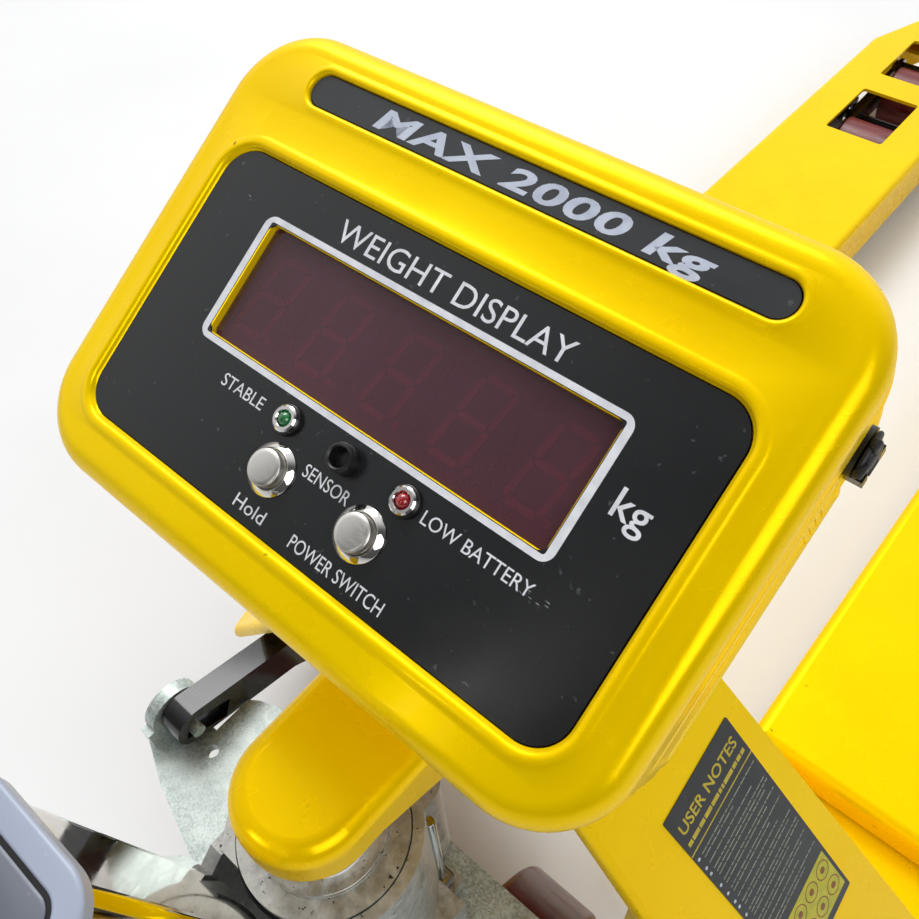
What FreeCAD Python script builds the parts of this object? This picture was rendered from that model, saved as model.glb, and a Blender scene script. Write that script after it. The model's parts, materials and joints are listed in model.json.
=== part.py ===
import FreeCAD, Part
import os
from math import asin, atan2, cos, degrees, radians, sin, sqrt

# Hand pallet truck with a built-in scale.
#
# Frame: X to the right seen by the operator, Y towards the fork tips, Z up, in millimetres.
# The sub-parts are drawn with the steering axis at X = Y = 0 and the floor at Z = 0, and are
# then all shifted along Y so that the origin ends at the middle of the footprint.

V = FreeCAD.Vector

# ---------------------------------------------------------------- forks
FORK_TOP = 90.0
FORK_WIDTH = 170.0
FORK_GAP = 201.0
FORK_X = (FORK_GAP + FORK_WIDTH) / 2
COVER_REAR = 278.0
COVER_FRONT = 1398.0
COVER_LOW = 32.0
COVER_WALL = 4.0
TIP_TAPER = 131.0
TIP_HALF_WIDTH = 46.0
BEAM_HALF_WIDTH = 76.0
BEAM_LOW = 26.0
BEAM_TOP = 62.0
BEAM_WALL = 5.0
BEAM_FRONT = 1378.0
WINDOW = (72.0, 108.0)
CELL_SIZE = (34.0, 130.0, 22.0)
CELL_Y = (410.0, 900.0)
CELL_X = FORK_X + 34.0

# ---------------------------------------------------------------- lift frame
NOSE_TOP = 412.0
NOSE_LOW = 370.0
NOSE_TIP_R = 28.5
NOSE_HALF_BACK = 31.0
GABLE_FRONT = 70.0
GABLE_CUT_X = 195.0
GABLE_CUT_Y = 150.0
GABLE_FOOT_Z = 97.0
GABLE_PLATE = 6.0
LIP_DEPTH = 12.0
NOSE_TIP_LOW = 390.0
NOSE_LOW_FROM = 62.0
BACK_TOP_Y = 148.0
BACK_LOW_Y = 214.0
BACK_PLATE = 8.0
GUSSET_X = 107.0
LABEL_SIZE = (59.5, 150.0)
LABEL_MID = (145.2, 141.7)
LABEL_TURN = 6.9

# ---------------------------------------------------------------- lift linkage
LIFT = 115.0
SHAFT = (175.0, 160.0)
SHAFT_R = 12.0
ARM_LENGTH = 180.0
ARM_X = 145.0
ARM_BEND = (80.0, 221.5)
EAR_PIN = (4.4, 240.0)
LEVER_LENGTH = 112.0
ROLLER_R = 37.0
ROLLER_WIDTH = 64.0
ROLLER_Y = (1081.0, 1234.0)
BOGIE_Y = sum(ROLLER_Y) / 2
ROLLER_ARM = 140.0
ARM_PIVOT_Z = 44.0

# ---------------------------------------------------------------- pump, wheels and tiller
RAM_R = 14.0
PUMP_R = 36.0
PUMP_TOP = 358.0
PLATE_Z = 215.0
PLATE_T = 8.0
WHEEL_R = 100.0
WHEEL_X = 65.0
WHEEL_WIDTH = 50.0
AXLE_R = 12.5
TIE_ROD = (25.7, 34.0)
TILLER_PIVOT = (-62.0, 310.0)
TILLER_LEAN = 8.75
TILLER_PIN_R = 6.0
BOOT_HALF_WIDTH = 26.0
BOOT_FRONT = 29.0
BOOT_DEPTH = 60.0
BOOT_LOW = 46.0
BOOT_TOP = 208.0
BOOT_FOOT = (88.0, 56.0, 16.0)
BOOT_FLARE_TOP = 92.0
TUBE_R = 17.0
LEVER_PIVOT_Z = 794.0
RELEASE_PIVOT = (-34.0, 236.0)
PLUNGER_Y = -80.0
PLUNGER_TOP = 319.5
PLUNGER_LOW = 258.0
BLOCK_TOP = 270.0
CAM_R = 10.0
STEM_TOP = 780.0
ORIGIN_Y = 592.9

# ---------------------------------------------------------------- indicator
IND_CENTRE = (-19.1, 78.2, 535.2)
IND_TILT = 32.0
CASE = (247.0, 178.0)
CASE_MID_V = 13.0
CASE_CORNER_R = 30.0
CASE_WALL = 3.0
FACE = 2.0
PARTING = -18.0
CASE_BACK = -58.0
PANEL = (206.5, 107.0)
PANEL_R = 12.0
WINDOW_MID = (0.0, 13.0)
WINDOW_OPEN = (143.5, 42.5)
DIGIT_PITCH = 29.7
DIGIT_MID = (-1.5, 12.4)
DIGITS = 5
DIGIT_FACE = -7.0
DIGIT_BACK = -14.0
BOARD_T = 1.6
FILTER_FACE = -2.2
BUTTON_AT = {"hold_button": (-19.0, -34.0), "power_button": (20.0, -34.0)}
BUTTON_CAP_R = 6.35
LED_AT = {"stable_led": (-23.5, -18.0), "battery_led": (27.5, -18.0)}
IR_AT = (2.5, -18.0)
STRIP = (182.0, 11.3)
STRIP_MID = (3.5, 82.0)
SOCKET_AT = (62.0, -29.0)
BATTERY_DOOR = (4.0, 98.0, 26.0)
DOOR_MID = (4.0, -34.0)


# ---------------------------------------------------------------- shape helpers
def box(x0, x1, y0, y1, z0, z1):
    return Part.makeBox(x1 - x0, y1 - y0, z1 - z0, V(x0, y0, z0))


def rod(radius, length, at, along=(0, 0, 1)):
    return Part.makeCylinder(radius, length, V(*at), V(*along))


def tube(outer, inner, length, at, along=(0, 0, 1)):
    return rod(outer, length, at, along).cut(rod(inner, length, at, along))


def prism(points, plane, start, length):
    """Extrude an outline: plane "x" takes (y, z) points, "y" takes (x, z), "z" takes (x, y)."""
    place = {"x": lambda p: V(start, p[0], p[1]), "y": lambda p: V(p[0], start, p[1]),
             "z": lambda p: V(p[0], p[1], start)}[plane]
    along = {"x": V(length, 0, 0), "y": V(0, length, 0), "z": V(0, 0, length)}[plane]
    ring = [place(p) for p in points]
    return Part.Face(Part.makePolygon(ring + ring[:1])).extrude(along)


def rounded(width, height, radius, mid=(0.0, 0.0)):
    """Wire of a rounded rectangle in the XY plane."""
    x, y = width / 2 - radius, height / 2 - radius
    edges = []
    corners = [(x, y, 0), (-x, y, 90), (-x, -y, 180), (x, -y, 270)]
    for n, (cx, cy, start) in enumerate(corners):
        centre = V(mid[0] + cx, mid[1] + cy, 0)
        edges.append(Part.makeCircle(radius, centre, V(0, 0, 1), start, start + 90))
        nx, ny, nstart = corners[(n + 1) % 4]
        here = centre + V(radius * cos(radians(start + 90)), radius * sin(radians(start + 90)), 0)
        there = V(mid[0] + nx + radius * cos(radians(nstart)),
                  mid[1] + ny + radius * sin(radians(nstart)), 0)
        if here.distanceToPoint(there) > 1e-6:
            edges.append(Part.makeLine(here, there))
    return Part.Wire(Part.__sortEdges__(edges))


def slab(width, height, radius, low, high, mid=(0.0, 0.0)):
    """Rounded-rectangle plate between two heights."""
    face = Part.Face(rounded(width, height, radius, mid))
    face.translate(V(0, 0, low))
    return face.extrude(V(0, 0, high - low))


def taper(size_low, size_high, low, high, mid=(0.0, 0.0)):
    """Rounded-rectangle solid whose width, height and radius change from low to high."""
    wires = []
    for (width, height, radius), z in ((size_low, low), (size_high, high)):
        wire = rounded(width, height, radius, mid)
        wire.translate(V(0, 0, z))
        wires.append(wire)
    return Part.makeLoft(wires, True, True)


def round_edges(solid, radius, chosen):
    """Fillet the edges that the test function picks."""
    return solid.makeFillet(radius, [e for e in solid.Edges if chosen(e)])


def join(*solids):
    out = solids[0]
    for solid in solids[1:]:
        out = out.fuse(solid)
    return out.removeSplitter()


def group(solids):
    return Part.makeCompound(list(solids))


def mirrored(solid):
    return solid.mirror(V(0, 0, 0), V(1, 0, 0))


def hex_bolt(at, along, shank, grip, head=1.7):
    """Bolt of the given shank radius: hexagon head outside, shank running into the work."""
    axis = V(*along)
    across = shank * head
    ring = [V(across * cos(radians(60 * k)), across * sin(radians(60 * k)), 0) for k in range(6)]
    top = Part.Face(Part.makePolygon(ring + ring[:1])).extrude(V(0, 0, shank * 1.2))
    solid = top.fuse(Part.makeCylinder(shank, grip, V(0, 0, 0), V(0, 0, -1)))
    solid.Placement = FreeCAD.Placement(V(*at), FreeCAD.Rotation(V(0, 0, 1), axis))
    return solid


def on_face(solid):
    """Move a piece drawn on the indicator's face plane to its place on the truck."""
    out = solid.copy()
    out.Placement = FreeCAD.Placement(V(*IND_CENTRE), FreeCAD.Rotation(V(1, 0, 0), IND_TILT)).multiply(
        out.Placement)
    return out


# ---------------------------------------------------------------- lift frame
def roof_z(x):
    return NOSE_TOP - (abs(x) - NOSE_HALF_BACK) * (NOSE_TOP - GABLE_FOOT_Z) / (FORK_X + FORK_WIDTH / 2
                                                                             - NOSE_HALF_BACK)


def back_y(z):
    return BACK_LOW_Y + (max(z, FORK_TOP) - FORK_TOP) * (BACK_TOP_Y - BACK_LOW_Y) / (NOSE_TOP - FORK_TOP)


def nose():
    tip_angle = asin((NOSE_HALF_BACK - NOSE_TIP_R) / GABLE_FRONT)

    def outline(inset, back):
        r = NOSE_TIP_R - inset
        tangent = V(r * cos(tip_angle), -r * sin(tip_angle), 0)
        wide = NOSE_HALF_BACK - inset
        arc = Part.Arc(tangent, V(0, -r, 0), V(-tangent.x, tangent.y, 0)).toShape()
        right = Part.makeLine(tangent, V(wide, back, 0))
        left = Part.makeLine(V(-wide, back, 0), V(-tangent.x, tangent.y, 0))
        end = Part.makeLine(V(wide, back, 0), V(-wide, back, 0))
        return Part.Face(Part.Wire(Part.__sortEdges__([arc, right, end, left])))

    outer = outline(0, BACK_TOP_Y - 2).extrude(V(0, 0, NOSE_TOP - NOSE_LOW))
    outer.translate(V(0, 0, NOSE_LOW))
    outer = round_edges(outer, 9.0, lambda e: all(abs(v.Z - NOSE_TOP) < 1e-6 for v in e.Vertexes)
                        and e.CenterOfMass.y < BACK_TOP_Y - 3)
    inner = outline(5.0, BACK_TOP_Y - 8).extrude(V(0, 0, NOSE_TOP - 6 - NOSE_LOW))
    inner.translate(V(0, 0, NOSE_LOW))
    seat = tube(RAM_R + 6, RAM_R, NOSE_TOP - 6 - NOSE_TIP_LOW, (0, 0, NOSE_TIP_LOW))
    below = prism([(-50, NOSE_LOW - 1), (NOSE_LOW_FROM, NOSE_LOW - 1), (NOSE_LOW_FROM, NOSE_LOW),
                   (10.0, NOSE_TIP_LOW), (-50, NOSE_TIP_LOW)], "x", -50, 100)
    return outer.cut(inner).cut(below).fuse(seat)


def gable_side():
    """Right-hand sloping shoulder plate with its turned-down lip, gussets and foot."""
    outer_x = FORK_X + FORK_WIDTH / 2
    x_in = NOSE_HALF_BACK - 8
    drop = GABLE_PLATE * 1.65
    run = prism([(x_in, roof_z(x_in)), (outer_x, roof_z(outer_x)), (outer_x, roof_z(outer_x) - drop),
                 (x_in, roof_z(x_in) - drop)], "y", GABLE_FRONT, BACK_LOW_Y - GABLE_FRONT + 8)
    lip = prism([(x_in, roof_z(x_in) - 2), (GABLE_CUT_X, roof_z(GABLE_CUT_X) - 2),
                 (GABLE_CUT_X, roof_z(GABLE_CUT_X) - LIP_DEPTH), (x_in, roof_z(x_in) - LIP_DEPTH)],
                "y", GABLE_FRONT, GABLE_PLATE)
    side = round_edges(run.fuse(lip).removeSplitter(), 5.0,
                       lambda e: abs(e.CenterOfMass.y - GABLE_FRONT) < 1e-3 and e.BoundBox.XLength > 150
                       and abs(e.CenterOfMass.z - roof_z(e.CenterOfMass.x)) < 1)
    corner = prism([(GABLE_CUT_X, GABLE_FRONT - 5), (outer_x + 5, GABLE_FRONT - 5),
                    (outer_x + 5, GABLE_CUT_Y + 5)], "z", 0, NOSE_TOP)
    crown = box(0, 100, 0, 300, NOSE_TOP - 3.0, NOSE_TOP + 50)
    behind = prism([(back_y(NOSE_TOP + 20), NOSE_TOP + 20), (back_y(FORK_TOP), FORK_TOP),
                    (back_y(FORK_TOP), 0), (400, 0), (400, NOSE_TOP + 20)], "x", 0, 400)
    gusset = box(GUSSET_X - 3, GUSSET_X + 3, 96.0, BACK_LOW_Y, BEAM_LOW, NOSE_TOP)
    gusset = gusset.cut(prism([(90, 0), (GABLE_CUT_Y - 20, 0), (90, 150)], "x", 90, 30))
    above = prism([(0, roof_z(0) - 4), (outer_x + 5, roof_z(outer_x + 5) - 4),
                   (outer_x + 5, 500), (0, 500)], "y", 0, 300)
    gusset = gusset.cut(above)
    return join(side.cut(corner), gusset).cut(behind).cut(crown)


def back_plate():
    outer_x = FORK_X + FORK_WIDTH / 2
    outline = [(NOSE_HALF_BACK, NOSE_TOP), (outer_x, roof_z(outer_x)), (outer_x, BEAM_LOW),
               (FORK_GAP / 2, BEAM_LOW), (FORK_GAP / 2, 110.0), (70.0, 150.0),
               (-70.0, 150.0), (-FORK_GAP / 2, 110.0), (-FORK_GAP / 2, BEAM_LOW),
               (-outer_x, BEAM_LOW), (-outer_x, roof_z(outer_x)), (-NOSE_HALF_BACK, NOSE_TOP)]
    slice_ = prism([(back_y(NOSE_TOP), NOSE_TOP), (back_y(FORK_TOP), FORK_TOP), (BACK_LOW_Y, BEAM_LOW),
                    (BACK_LOW_Y + BACK_PLATE, BEAM_LOW), (BACK_LOW_Y + BACK_PLATE, FORK_TOP),
                    (back_y(NOSE_TOP) + BACK_PLATE, NOSE_TOP)], "x", -300, 600)
    rod_ways = [box(sx * FORK_X - 16, sx * FORK_X + 16, BACK_LOW_Y - 10, BACK_LOW_Y + 20, 20.0, 104.0)
                for sx in (-1, 1)]
    return prism(outline, "y", 100, 200).common(slice_).cut(group(rod_ways))


def lift_frame():
    right = gable_side()
    frame = join(nose(), right, mirrored(right), back_plate())
    half_bore = FORK_X + 14
    bore = rod(SHAFT_R + 0.05, 2 * half_bore, (-half_bore, SHAFT[0], SHAFT[1]), (1, 0, 0))
    boss = tube(SHAFT_R + 9, SHAFT_R + 0.05, 16, (GUSSET_X - 8, SHAFT[0], SHAFT[1]), (1, 0, 0))
    return join(frame.cut(bore), boss, mirrored(boss))


def fork_beam(side):
    x = side * FORK_X
    body = box(x - BEAM_HALF_WIDTH, x + BEAM_HALF_WIDTH, BACK_LOW_Y + BACK_PLATE, BEAM_FRONT,
               BEAM_LOW, BEAM_TOP)
    body = body.cut(box(x - BEAM_HALF_WIDTH + BEAM_WALL, x + BEAM_HALF_WIDTH - BEAM_WALL, 0,
                        BEAM_FRONT - BEAM_WALL, 0, BEAM_TOP - BEAM_WALL))
    body = body.cut(box(x - 62, x + 62, 1012.0, 1318.0, BEAM_TOP - 20, BEAM_TOP + 5))
    for sx in (-1, 1):
        corner = prism([(x + sx * (TIP_HALF_WIDTH - 8), BEAM_FRONT + 1), (x + sx * 200, BEAM_FRONT + 1),
                        (x + sx * 200, BEAM_FRONT - 118), (x + sx * BEAM_HALF_WIDTH, BEAM_FRONT - 100)],
                       "z", 0, 200)
        inner = prism([(x + sx * (TIP_HALF_WIDTH - 14), BEAM_FRONT + 1),
                       (x + sx * (TIP_HALF_WIDTH - 8), BEAM_FRONT + 1),
                       (x + sx * BEAM_HALF_WIDTH, BEAM_FRONT - 100),
                       (x + sx * BEAM_HALF_WIDTH, BEAM_FRONT - 112)], "z", BEAM_LOW, BEAM_TOP - BEAM_LOW)
        body = body.cut(corner).fuse(inner)
    pivot_y = BOGIE_Y + sqrt(ROLLER_ARM ** 2 - (ARM_PIVOT_Z - ROLLER_R) ** 2)
    for sx in (-1, 1):
        boss = box(x + sx * 60 - 7, x + sx * 60 + 7, pivot_y - 14, pivot_y + 10.5, 30.0, BEAM_TOP)
        body = body.fuse(boss)
    body = body.cut(box(x - 17, x + 17, BACK_LOW_Y, BACK_LOW_Y + BACK_PLATE + 18,
                        BEAM_TOP - 8, BEAM_TOP + 2))
    for cy in CELL_Y:
        for dy in (-48.0, -24.0):
            body = body.cut(rod(6.2, 30, (side * CELL_X, cy + dy, BEAM_TOP - 10)))
    body = body.cut(rod(8.1, 400, (x - 200, pivot_y, ARM_PIVOT_Z), (1, 0, 0)))
    return body.removeSplitter()


def weigh_cover(side):
    x = side * FORK_X
    half = FORK_WIDTH / 2

    def plan(inset, rear, front, low, high):
        w, t = half - inset, TIP_HALF_WIDTH - inset * 0.8
        points = [(x - w, rear), (x - w, COVER_FRONT - TIP_TAPER), (x - t, front - 12), (x - t + 14, front),
                  (x + t - 14, front), (x + t, front - 12), (x + w, COVER_FRONT - TIP_TAPER), (x + w, rear)]
        return prism(points, "z", low, high - low)

    shell = plan(0, COVER_REAR, COVER_FRONT, COVER_LOW, FORK_TOP)
    shell = round_edges(shell, 8.0, lambda e: all(abs(v.Z - FORK_TOP) < 1e-6 for v in e.Vertexes))
    shell = shell.cut(plan(COVER_WALL, COVER_REAR + COVER_WALL, COVER_FRONT - COVER_WALL, 0,
                           FORK_TOP - COVER_WALL))
    shell = shell.cut(box(x - BEAM_HALF_WIDTH - 2, x + BEAM_HALF_WIDTH + 2, COVER_REAR - 1,
                          COVER_REAR + COVER_WALL + 1, 0, BEAM_TOP + 3))
    for y in ROLLER_Y:
        hole = slab(WINDOW[0], WINDOW[1], 4.0, FORK_TOP - 20, FORK_TOP + 5, (x, y))
        shell = shell.cut(hole)
    return shell


def load_cells():
    out = []
    for side in (-1, 1):
        for cy in CELL_Y:
            w, length, h = CELL_SIZE
            cell = box(-w / 2, w / 2, -length / 2, length / 2, 0, h)
            cell = cell.cut(rod(9.0, w + 2, (-w / 2 - 1, 4.0, h / 2), (1, 0, 0)))
            foot = rod(11.0, FORK_TOP - COVER_WALL - BEAM_TOP - h, (0, 45.0, h))
            for dy in (-48.0, -24.0):
                cell = cell.cut(rod(6.2, h + 2, (0, dy, -1)))
            cell = cell.fuse(foot).removeSplitter()
            cell.translate(V(side * CELL_X, cy, BEAM_TOP))
            out.append(cell)
    return group(out)


def load_cell_bolts():
    out = []
    for side in (-1, 1):
        for cy in CELL_Y:
            for dy in (-48.0, -24.0):
                seat = (side * CELL_X, cy + dy, BEAM_TOP - BEAM_WALL)
                out.append(hex_bolt(seat, (0, 0, -1), 6.0, BEAM_WALL + 20))
    return out


def junction_box():
    """Sealed box behind the pump where the four cells' leads are joined."""
    low, high = 196.0, 250.0
    rear = back_y(high) - 1.0
    body = box(-60, 60, rear - 34, rear, low, high)
    lid = box(-62, 62, rear - 38, rear - 34, low - 2, high + 2)
    glands = [rod(7.0, 12.0, (dx, rear - 17, low - 12)) for dx in (-42, -14, 14, 42)]
    return join(body, lid, *glands)


def safety_label():
    """Thin printed sheet on the right shoulder."""
    slope = atan2(NOSE_TOP - GABLE_FOOT_Z, FORK_X + FORK_WIDTH / 2 - NOSE_HALF_BACK)
    plate = slab(*LABEL_SIZE, 1.0, 0.0, 0.5)
    plate.rotate(V(0, 0, 0), V(0, 0, 1), 90.0 + LABEL_TURN)
    plate.rotate(V(0, 0, 0), V(0, 1, 0), degrees(slope))
    x, y = LABEL_MID
    plate.translate(V(x, y, roof_z(x)) + V(sin(slope), 0, cos(slope)) * 0.02)
    return plate


# ---------------------------------------------------------------- lift linkage
REST_ARM = asin((EAR_PIN[1] - SHAFT[1]) / ARM_LENGTH)
FULL_ARM = asin((EAR_PIN[1] - LIFT - SHAFT[1]) / ARM_LENGTH)
ROCKER_TURN = REST_ARM - FULL_ARM
LEVER_REST = ROCKER_TURN / 2
ROD_REAR = (SHAFT[0] - LEVER_LENGTH * sin(LEVER_REST), SHAFT[1] - LEVER_LENGTH * cos(LEVER_REST))
PIVOT_Y = BOGIE_Y + sqrt(ROLLER_ARM ** 2 - (ARM_PIVOT_Z - ROLLER_R) ** 2)
ARM_DROP = asin((ARM_PIVOT_Z - ROLLER_R) / ROLLER_ARM)
ARM_TURN = asin((ARM_PIVOT_Z - ROLLER_R + LIFT) / ROLLER_ARM) - ARM_DROP


def bar_yz(x0, x1, start, end, half, bore_start, bore_end):
    """Flat bar with round ends in a YZ plane, with a bore at each end."""
    direction = V(0, end[0] - start[0], end[1] - start[1])
    length = direction.Length
    angle = degrees(atan2(direction.z, direction.y))
    flat = box(x0, x1, 0, length, -half, half)
    for y in (0, length):
        flat = flat.fuse(rod(half, x1 - x0, (x0, y, 0), (1, 0, 0)))
    for y, r in ((0, bore_start), (length, bore_end)):
        if r:
            flat = flat.cut(rod(r, x1 - x0 + 2, (x0 - 1, y, 0), (1, 0, 0)))
    flat.rotate(V(0, 0, 0), V(1, 0, 0), angle)
    flat.translate(V(0, start[0], start[1]))
    return flat.removeSplitter()


def rocker():
    shaft = rod(SHAFT_R, 2 * (FORK_X + 12), (-FORK_X - 12, SHAFT[0], SHAFT[1]), (1, 0, 0))
    pieces = [shaft]
    rear = (SHAFT[0] - ARM_LENGTH * cos(REST_ARM), SHAFT[1] + ARM_LENGTH * sin(REST_ARM))
    for side in (-1, 1):
        x = side * ARM_X
        reach = sqrt((ARM_BEND[0] - rear[0]) ** 2 + (rear[1] - ARM_BEND[1]) ** 2)
        beyond = (rear[0] - 8.0 * (ARM_BEND[0] - rear[0]) / reach,
                  rear[1] + 8.0 * (rear[1] - ARM_BEND[1]) / reach)
        arm = bar_yz(x - 8, x + 8, SHAFT, ARM_BEND, 13.5, 0, 0)
        arm = arm.fuse(bar_yz(x - 8, x + 8, ARM_BEND, beyond, 13.5, 0, 0)).removeSplitter()
        along = degrees(atan2(rear[1] - SHAFT[1], rear[0] - SHAFT[0]))
        slot = box(x - 20, x + 20, -14.5, 14.0, -5.2, 9.2)
        slot.rotate(V(0, 0, 0), V(1, 0, 0), along)
        slot.translate(V(0, rear[0], rear[1]))
        hub = rod(19.0, 24, (x - 12, SHAFT[0], SHAFT[1]), (1, 0, 0))
        pieces.append(arm.cut(slot).fuse(hub))
        lever_x = side * FORK_X
        for dx in (-13, 7):
            pieces.append(bar_yz(lever_x + dx, lever_x + dx + 6, SHAFT, ROD_REAR, 11.5, 0, 0))
        pieces.append(rod(6.0, 30, (lever_x - 15, *ROD_REAR), (1, 0, 0)))
    return join(*pieces)


def push_rod(side):
    """Bar under the fork, ending in a yoke round the rear roller."""
    x = side * FORK_X
    split = 1012.0
    angle = atan2(ROLLER_R - ROD_REAR[1], BOGIE_Y - ROD_REAR[0])
    length = (split - ROD_REAR[0]) / cos(angle)
    bar = box(x - 6.8, x + 6.8, 0, length, -14.0, 2.0)
    bar = bar.fuse(rod(9.0, 13.6, (x - 6.8, 0, 0), (1, 0, 0)))
    cross = box(x - 58, x + 58, length - 10, length, -8.0, 8.0)
    reach = sqrt((BOGIE_Y - ROD_REAR[0]) ** 2 + (ROLLER_R - ROD_REAR[1]) ** 2)
    arms = []
    for sx in (-1, 1):
        arm = box(x + sx * 55 - 3, x + sx * 55 + 3, length - 10, reach + 20, -15.5, 15.5)
        arms.append(arm.cut(box(x + sx * 55 - 4, x + sx * 55 + 4, reach - 20, reach + 15, -12.0, 12.0)))
    solid = join(bar, cross, *arms).cut(rod(6.05, 60, (x - 30, 0, 0), (1, 0, 0)))
    solid.rotate(V(0, 0, 0), V(1, 0, 0), degrees(angle))
    solid.translate(V(0, ROD_REAR[0], ROD_REAR[1]))
    return solid


def roller_arm(side):
    """Two cheeks hung from the fork tip, with the pivot shaft and the bogie pin."""
    x = side * FORK_X
    cheeks = [bar_yz(x + dx, x + dx + 6, (PIVOT_Y, ARM_PIVOT_Z), (BOGIE_Y, ROLLER_R), 12.0, 0, 0)
              for dx in (-49, 43)]
    pivot = rod(8.0, 134, (x - 67, PIVOT_Y, ARM_PIVOT_Z), (1, 0, 0))
    pin = rod(6.0, 118, (x - 59, BOGIE_Y, ROLLER_R), (1, 0, 0))
    return join(*cheeks, pivot, pin)


def bogie(side):
    x = side * FORK_X
    cheeks = []
    for dx in (-41.5, 35.5):
        plate = box(x + dx, x + dx + 6, ROLLER_Y[0] - 4, ROLLER_Y[1] + 4, ROLLER_R - 13, ROLLER_R + 13)
        for y in (ROLLER_Y[0] - 4, ROLLER_Y[1] + 4):
            plate = plate.fuse(rod(13.0, 6, (x + dx, y, ROLLER_R), (1, 0, 0)))
        plate = plate.cut(rod(6.05, 8, (x + dx - 1, BOGIE_Y, ROLLER_R), (1, 0, 0)))
        cheeks.append(plate)
    axles = [rod(9.0, 83, (x - 41.5, y, ROLLER_R), (1, 0, 0)) for y in ROLLER_Y]
    return join(*cheeks, *axles)


def load_roller(side, y):
    x = side * FORK_X
    core = tube(29.0, 9.05, ROLLER_WIDTH, (x - ROLLER_WIDTH / 2, y, ROLLER_R), (1, 0, 0))
    tyre = tube(ROLLER_R, 29.0, ROLLER_WIDTH - 2, (x - ROLLER_WIDTH / 2 + 1, y, ROLLER_R), (1, 0, 0))
    tyre = round_edges(tyre, 3.0, lambda e: e.Curve.TypeId == "Part::GeomCircle" and e.Curve.Radius > 30)
    return core, tyre


def thrust_plate():
    """Plate that does not steer: it sits round the pump on a thrust ring and carries the two ears."""
    half = [(162, -17), (136, -29), (91, -43), (40, -45)]
    front = [(162, 20), (130, 42), (96, 55)]
    outline = half + [(-x, y) for x, y in reversed(half)] + [(-x, y) for x, y in front] + front[::-1]
    plate = prism(outline, "z", PLATE_Z, PLATE_T)
    plate = plate.cut(rod(PUMP_R + 0.5, 60, (0, 0, PLATE_Z - 20)))
    plate = plate.cut(group([rod(4.0, 60, (s * 128.0, 3.0, PLATE_Z - 20)) for s in (-1, 1)]))
    plate = plate.cut(group([box(s * ARM_X - 9.0, s * ARM_X + 9.0, 13.0, 60.0, PLATE_Z - 5, PLATE_Z + 20)
                             for s in (-1, 1)]))
    pieces = [plate]
    for side in (-1, 1):
        low, high = PLATE_Z + PLATE_T - 4, EAR_PIN[1]
        x0 = side * (ARM_X + 13.0) - 4
        ear = box(x0, x0 + 8, -17.0, 20.0, low, high).fuse(rod(17.0, 8, (x0, EAR_PIN[0], high), (1, 0, 0)))
        pin_start = side * (ARM_X + 13.0)
        pin = rod(4.0, 24.0, (pin_start, EAR_PIN[0], EAR_PIN[1]), (-side, 0, 0))
        pieces += [ear, pin]
    return join(*pieces)


# ---------------------------------------------------------------- pump
def pump_body():
    floor = PLATE_Z + PLATE_T + 1
    rim_top = PUMP_TOP - 10
    column = rod(PUMP_R - 0.2, floor + 3 - 140, (0, 0, 140))
    barrel = rod(PUMP_R + 5.5, rim_top - floor, (0, 0, floor))
    rim = tube(PUMP_R + 5.5, PUMP_R + 0.6, 9.0, (0, 0, rim_top))
    behind = box(-80, 80, -80, -PUMP_R + 3, 0, 500)
    shoulder = rod(56.0, 8.0, (0, 0, 201.0))
    base = box(-34, 34, -42, 42, 66.0, 202.0)
    base = round_edges(base, 12.0, lambda e: e.BoundBox.ZLength > 100)
    tank = box(-46, 16, 10, 58, floor, 318.0)
    tank = round_edges(tank, 12.0, lambda e: e.BoundBox.ZLength > 60 and e.CenterOfMass.y > 50)
    side_tank = box(16, 46, -10, 30, floor, 262.0)
    tie_rod = rod(2.4, 335.0 - floor, (*TIE_ROD, floor))
    foot = box(TIE_ROD[0] - 10, TIE_ROD[0] + 8, TIE_ROD[1] - 12, TIE_ROD[1] + 8, floor, floor + 12)
    block = box(-30, 30, -102, -20, floor, BLOCK_TOP)
    block = round_edges(block, 8.0, lambda e: e.BoundBox.ZLength > 20 and e.CenterOfMass.y < -90)
    solid = join(column, barrel.cut(behind), rim.cut(behind), shoulder, base, tank, side_tank,
                 tie_rod, foot, block)
    for sx in (-1, 1):
        x0 = sx * 33.5 - 3.5
        web = prism([(TILLER_PIVOT[0] - 14, 240.0), (TILLER_PIVOT[0] - 14, TILLER_PIVOT[1]),
                     (TILLER_PIVOT[0] + 6, TILLER_PIVOT[1] + 12), (-34, 344.0), (-5, 344.0),
                     (-5, 240.0)], "x", x0, 7)
        solid = solid.fuse(web).fuse(rod(14.0, 7, (x0, *TILLER_PIVOT), (1, 0, 0)))
    solid = solid.cut(rod(RAM_R + 0.05, 400, (0, 0, 130.0)))
    solid = solid.cut(rod(AXLE_R, 100, (-50, 0, WHEEL_R), (1, 0, 0)))
    solid = solid.cut(rod(TILLER_PIN_R + 0.05, 100, (-50, *TILLER_PIVOT), (1, 0, 0)))
    pivot = tube(9.0, 5.05, 16, (32, *RELEASE_PIVOT), (1, 0, 0))
    solid = solid.cut(rod(5.05, 40, (20, *RELEASE_PIVOT), (1, 0, 0))).fuse(pivot)
    solid = solid.cut(rod(8.05, 60, (0, PLUNGER_Y, floor - 5)))
    return solid.removeSplitter()


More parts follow.
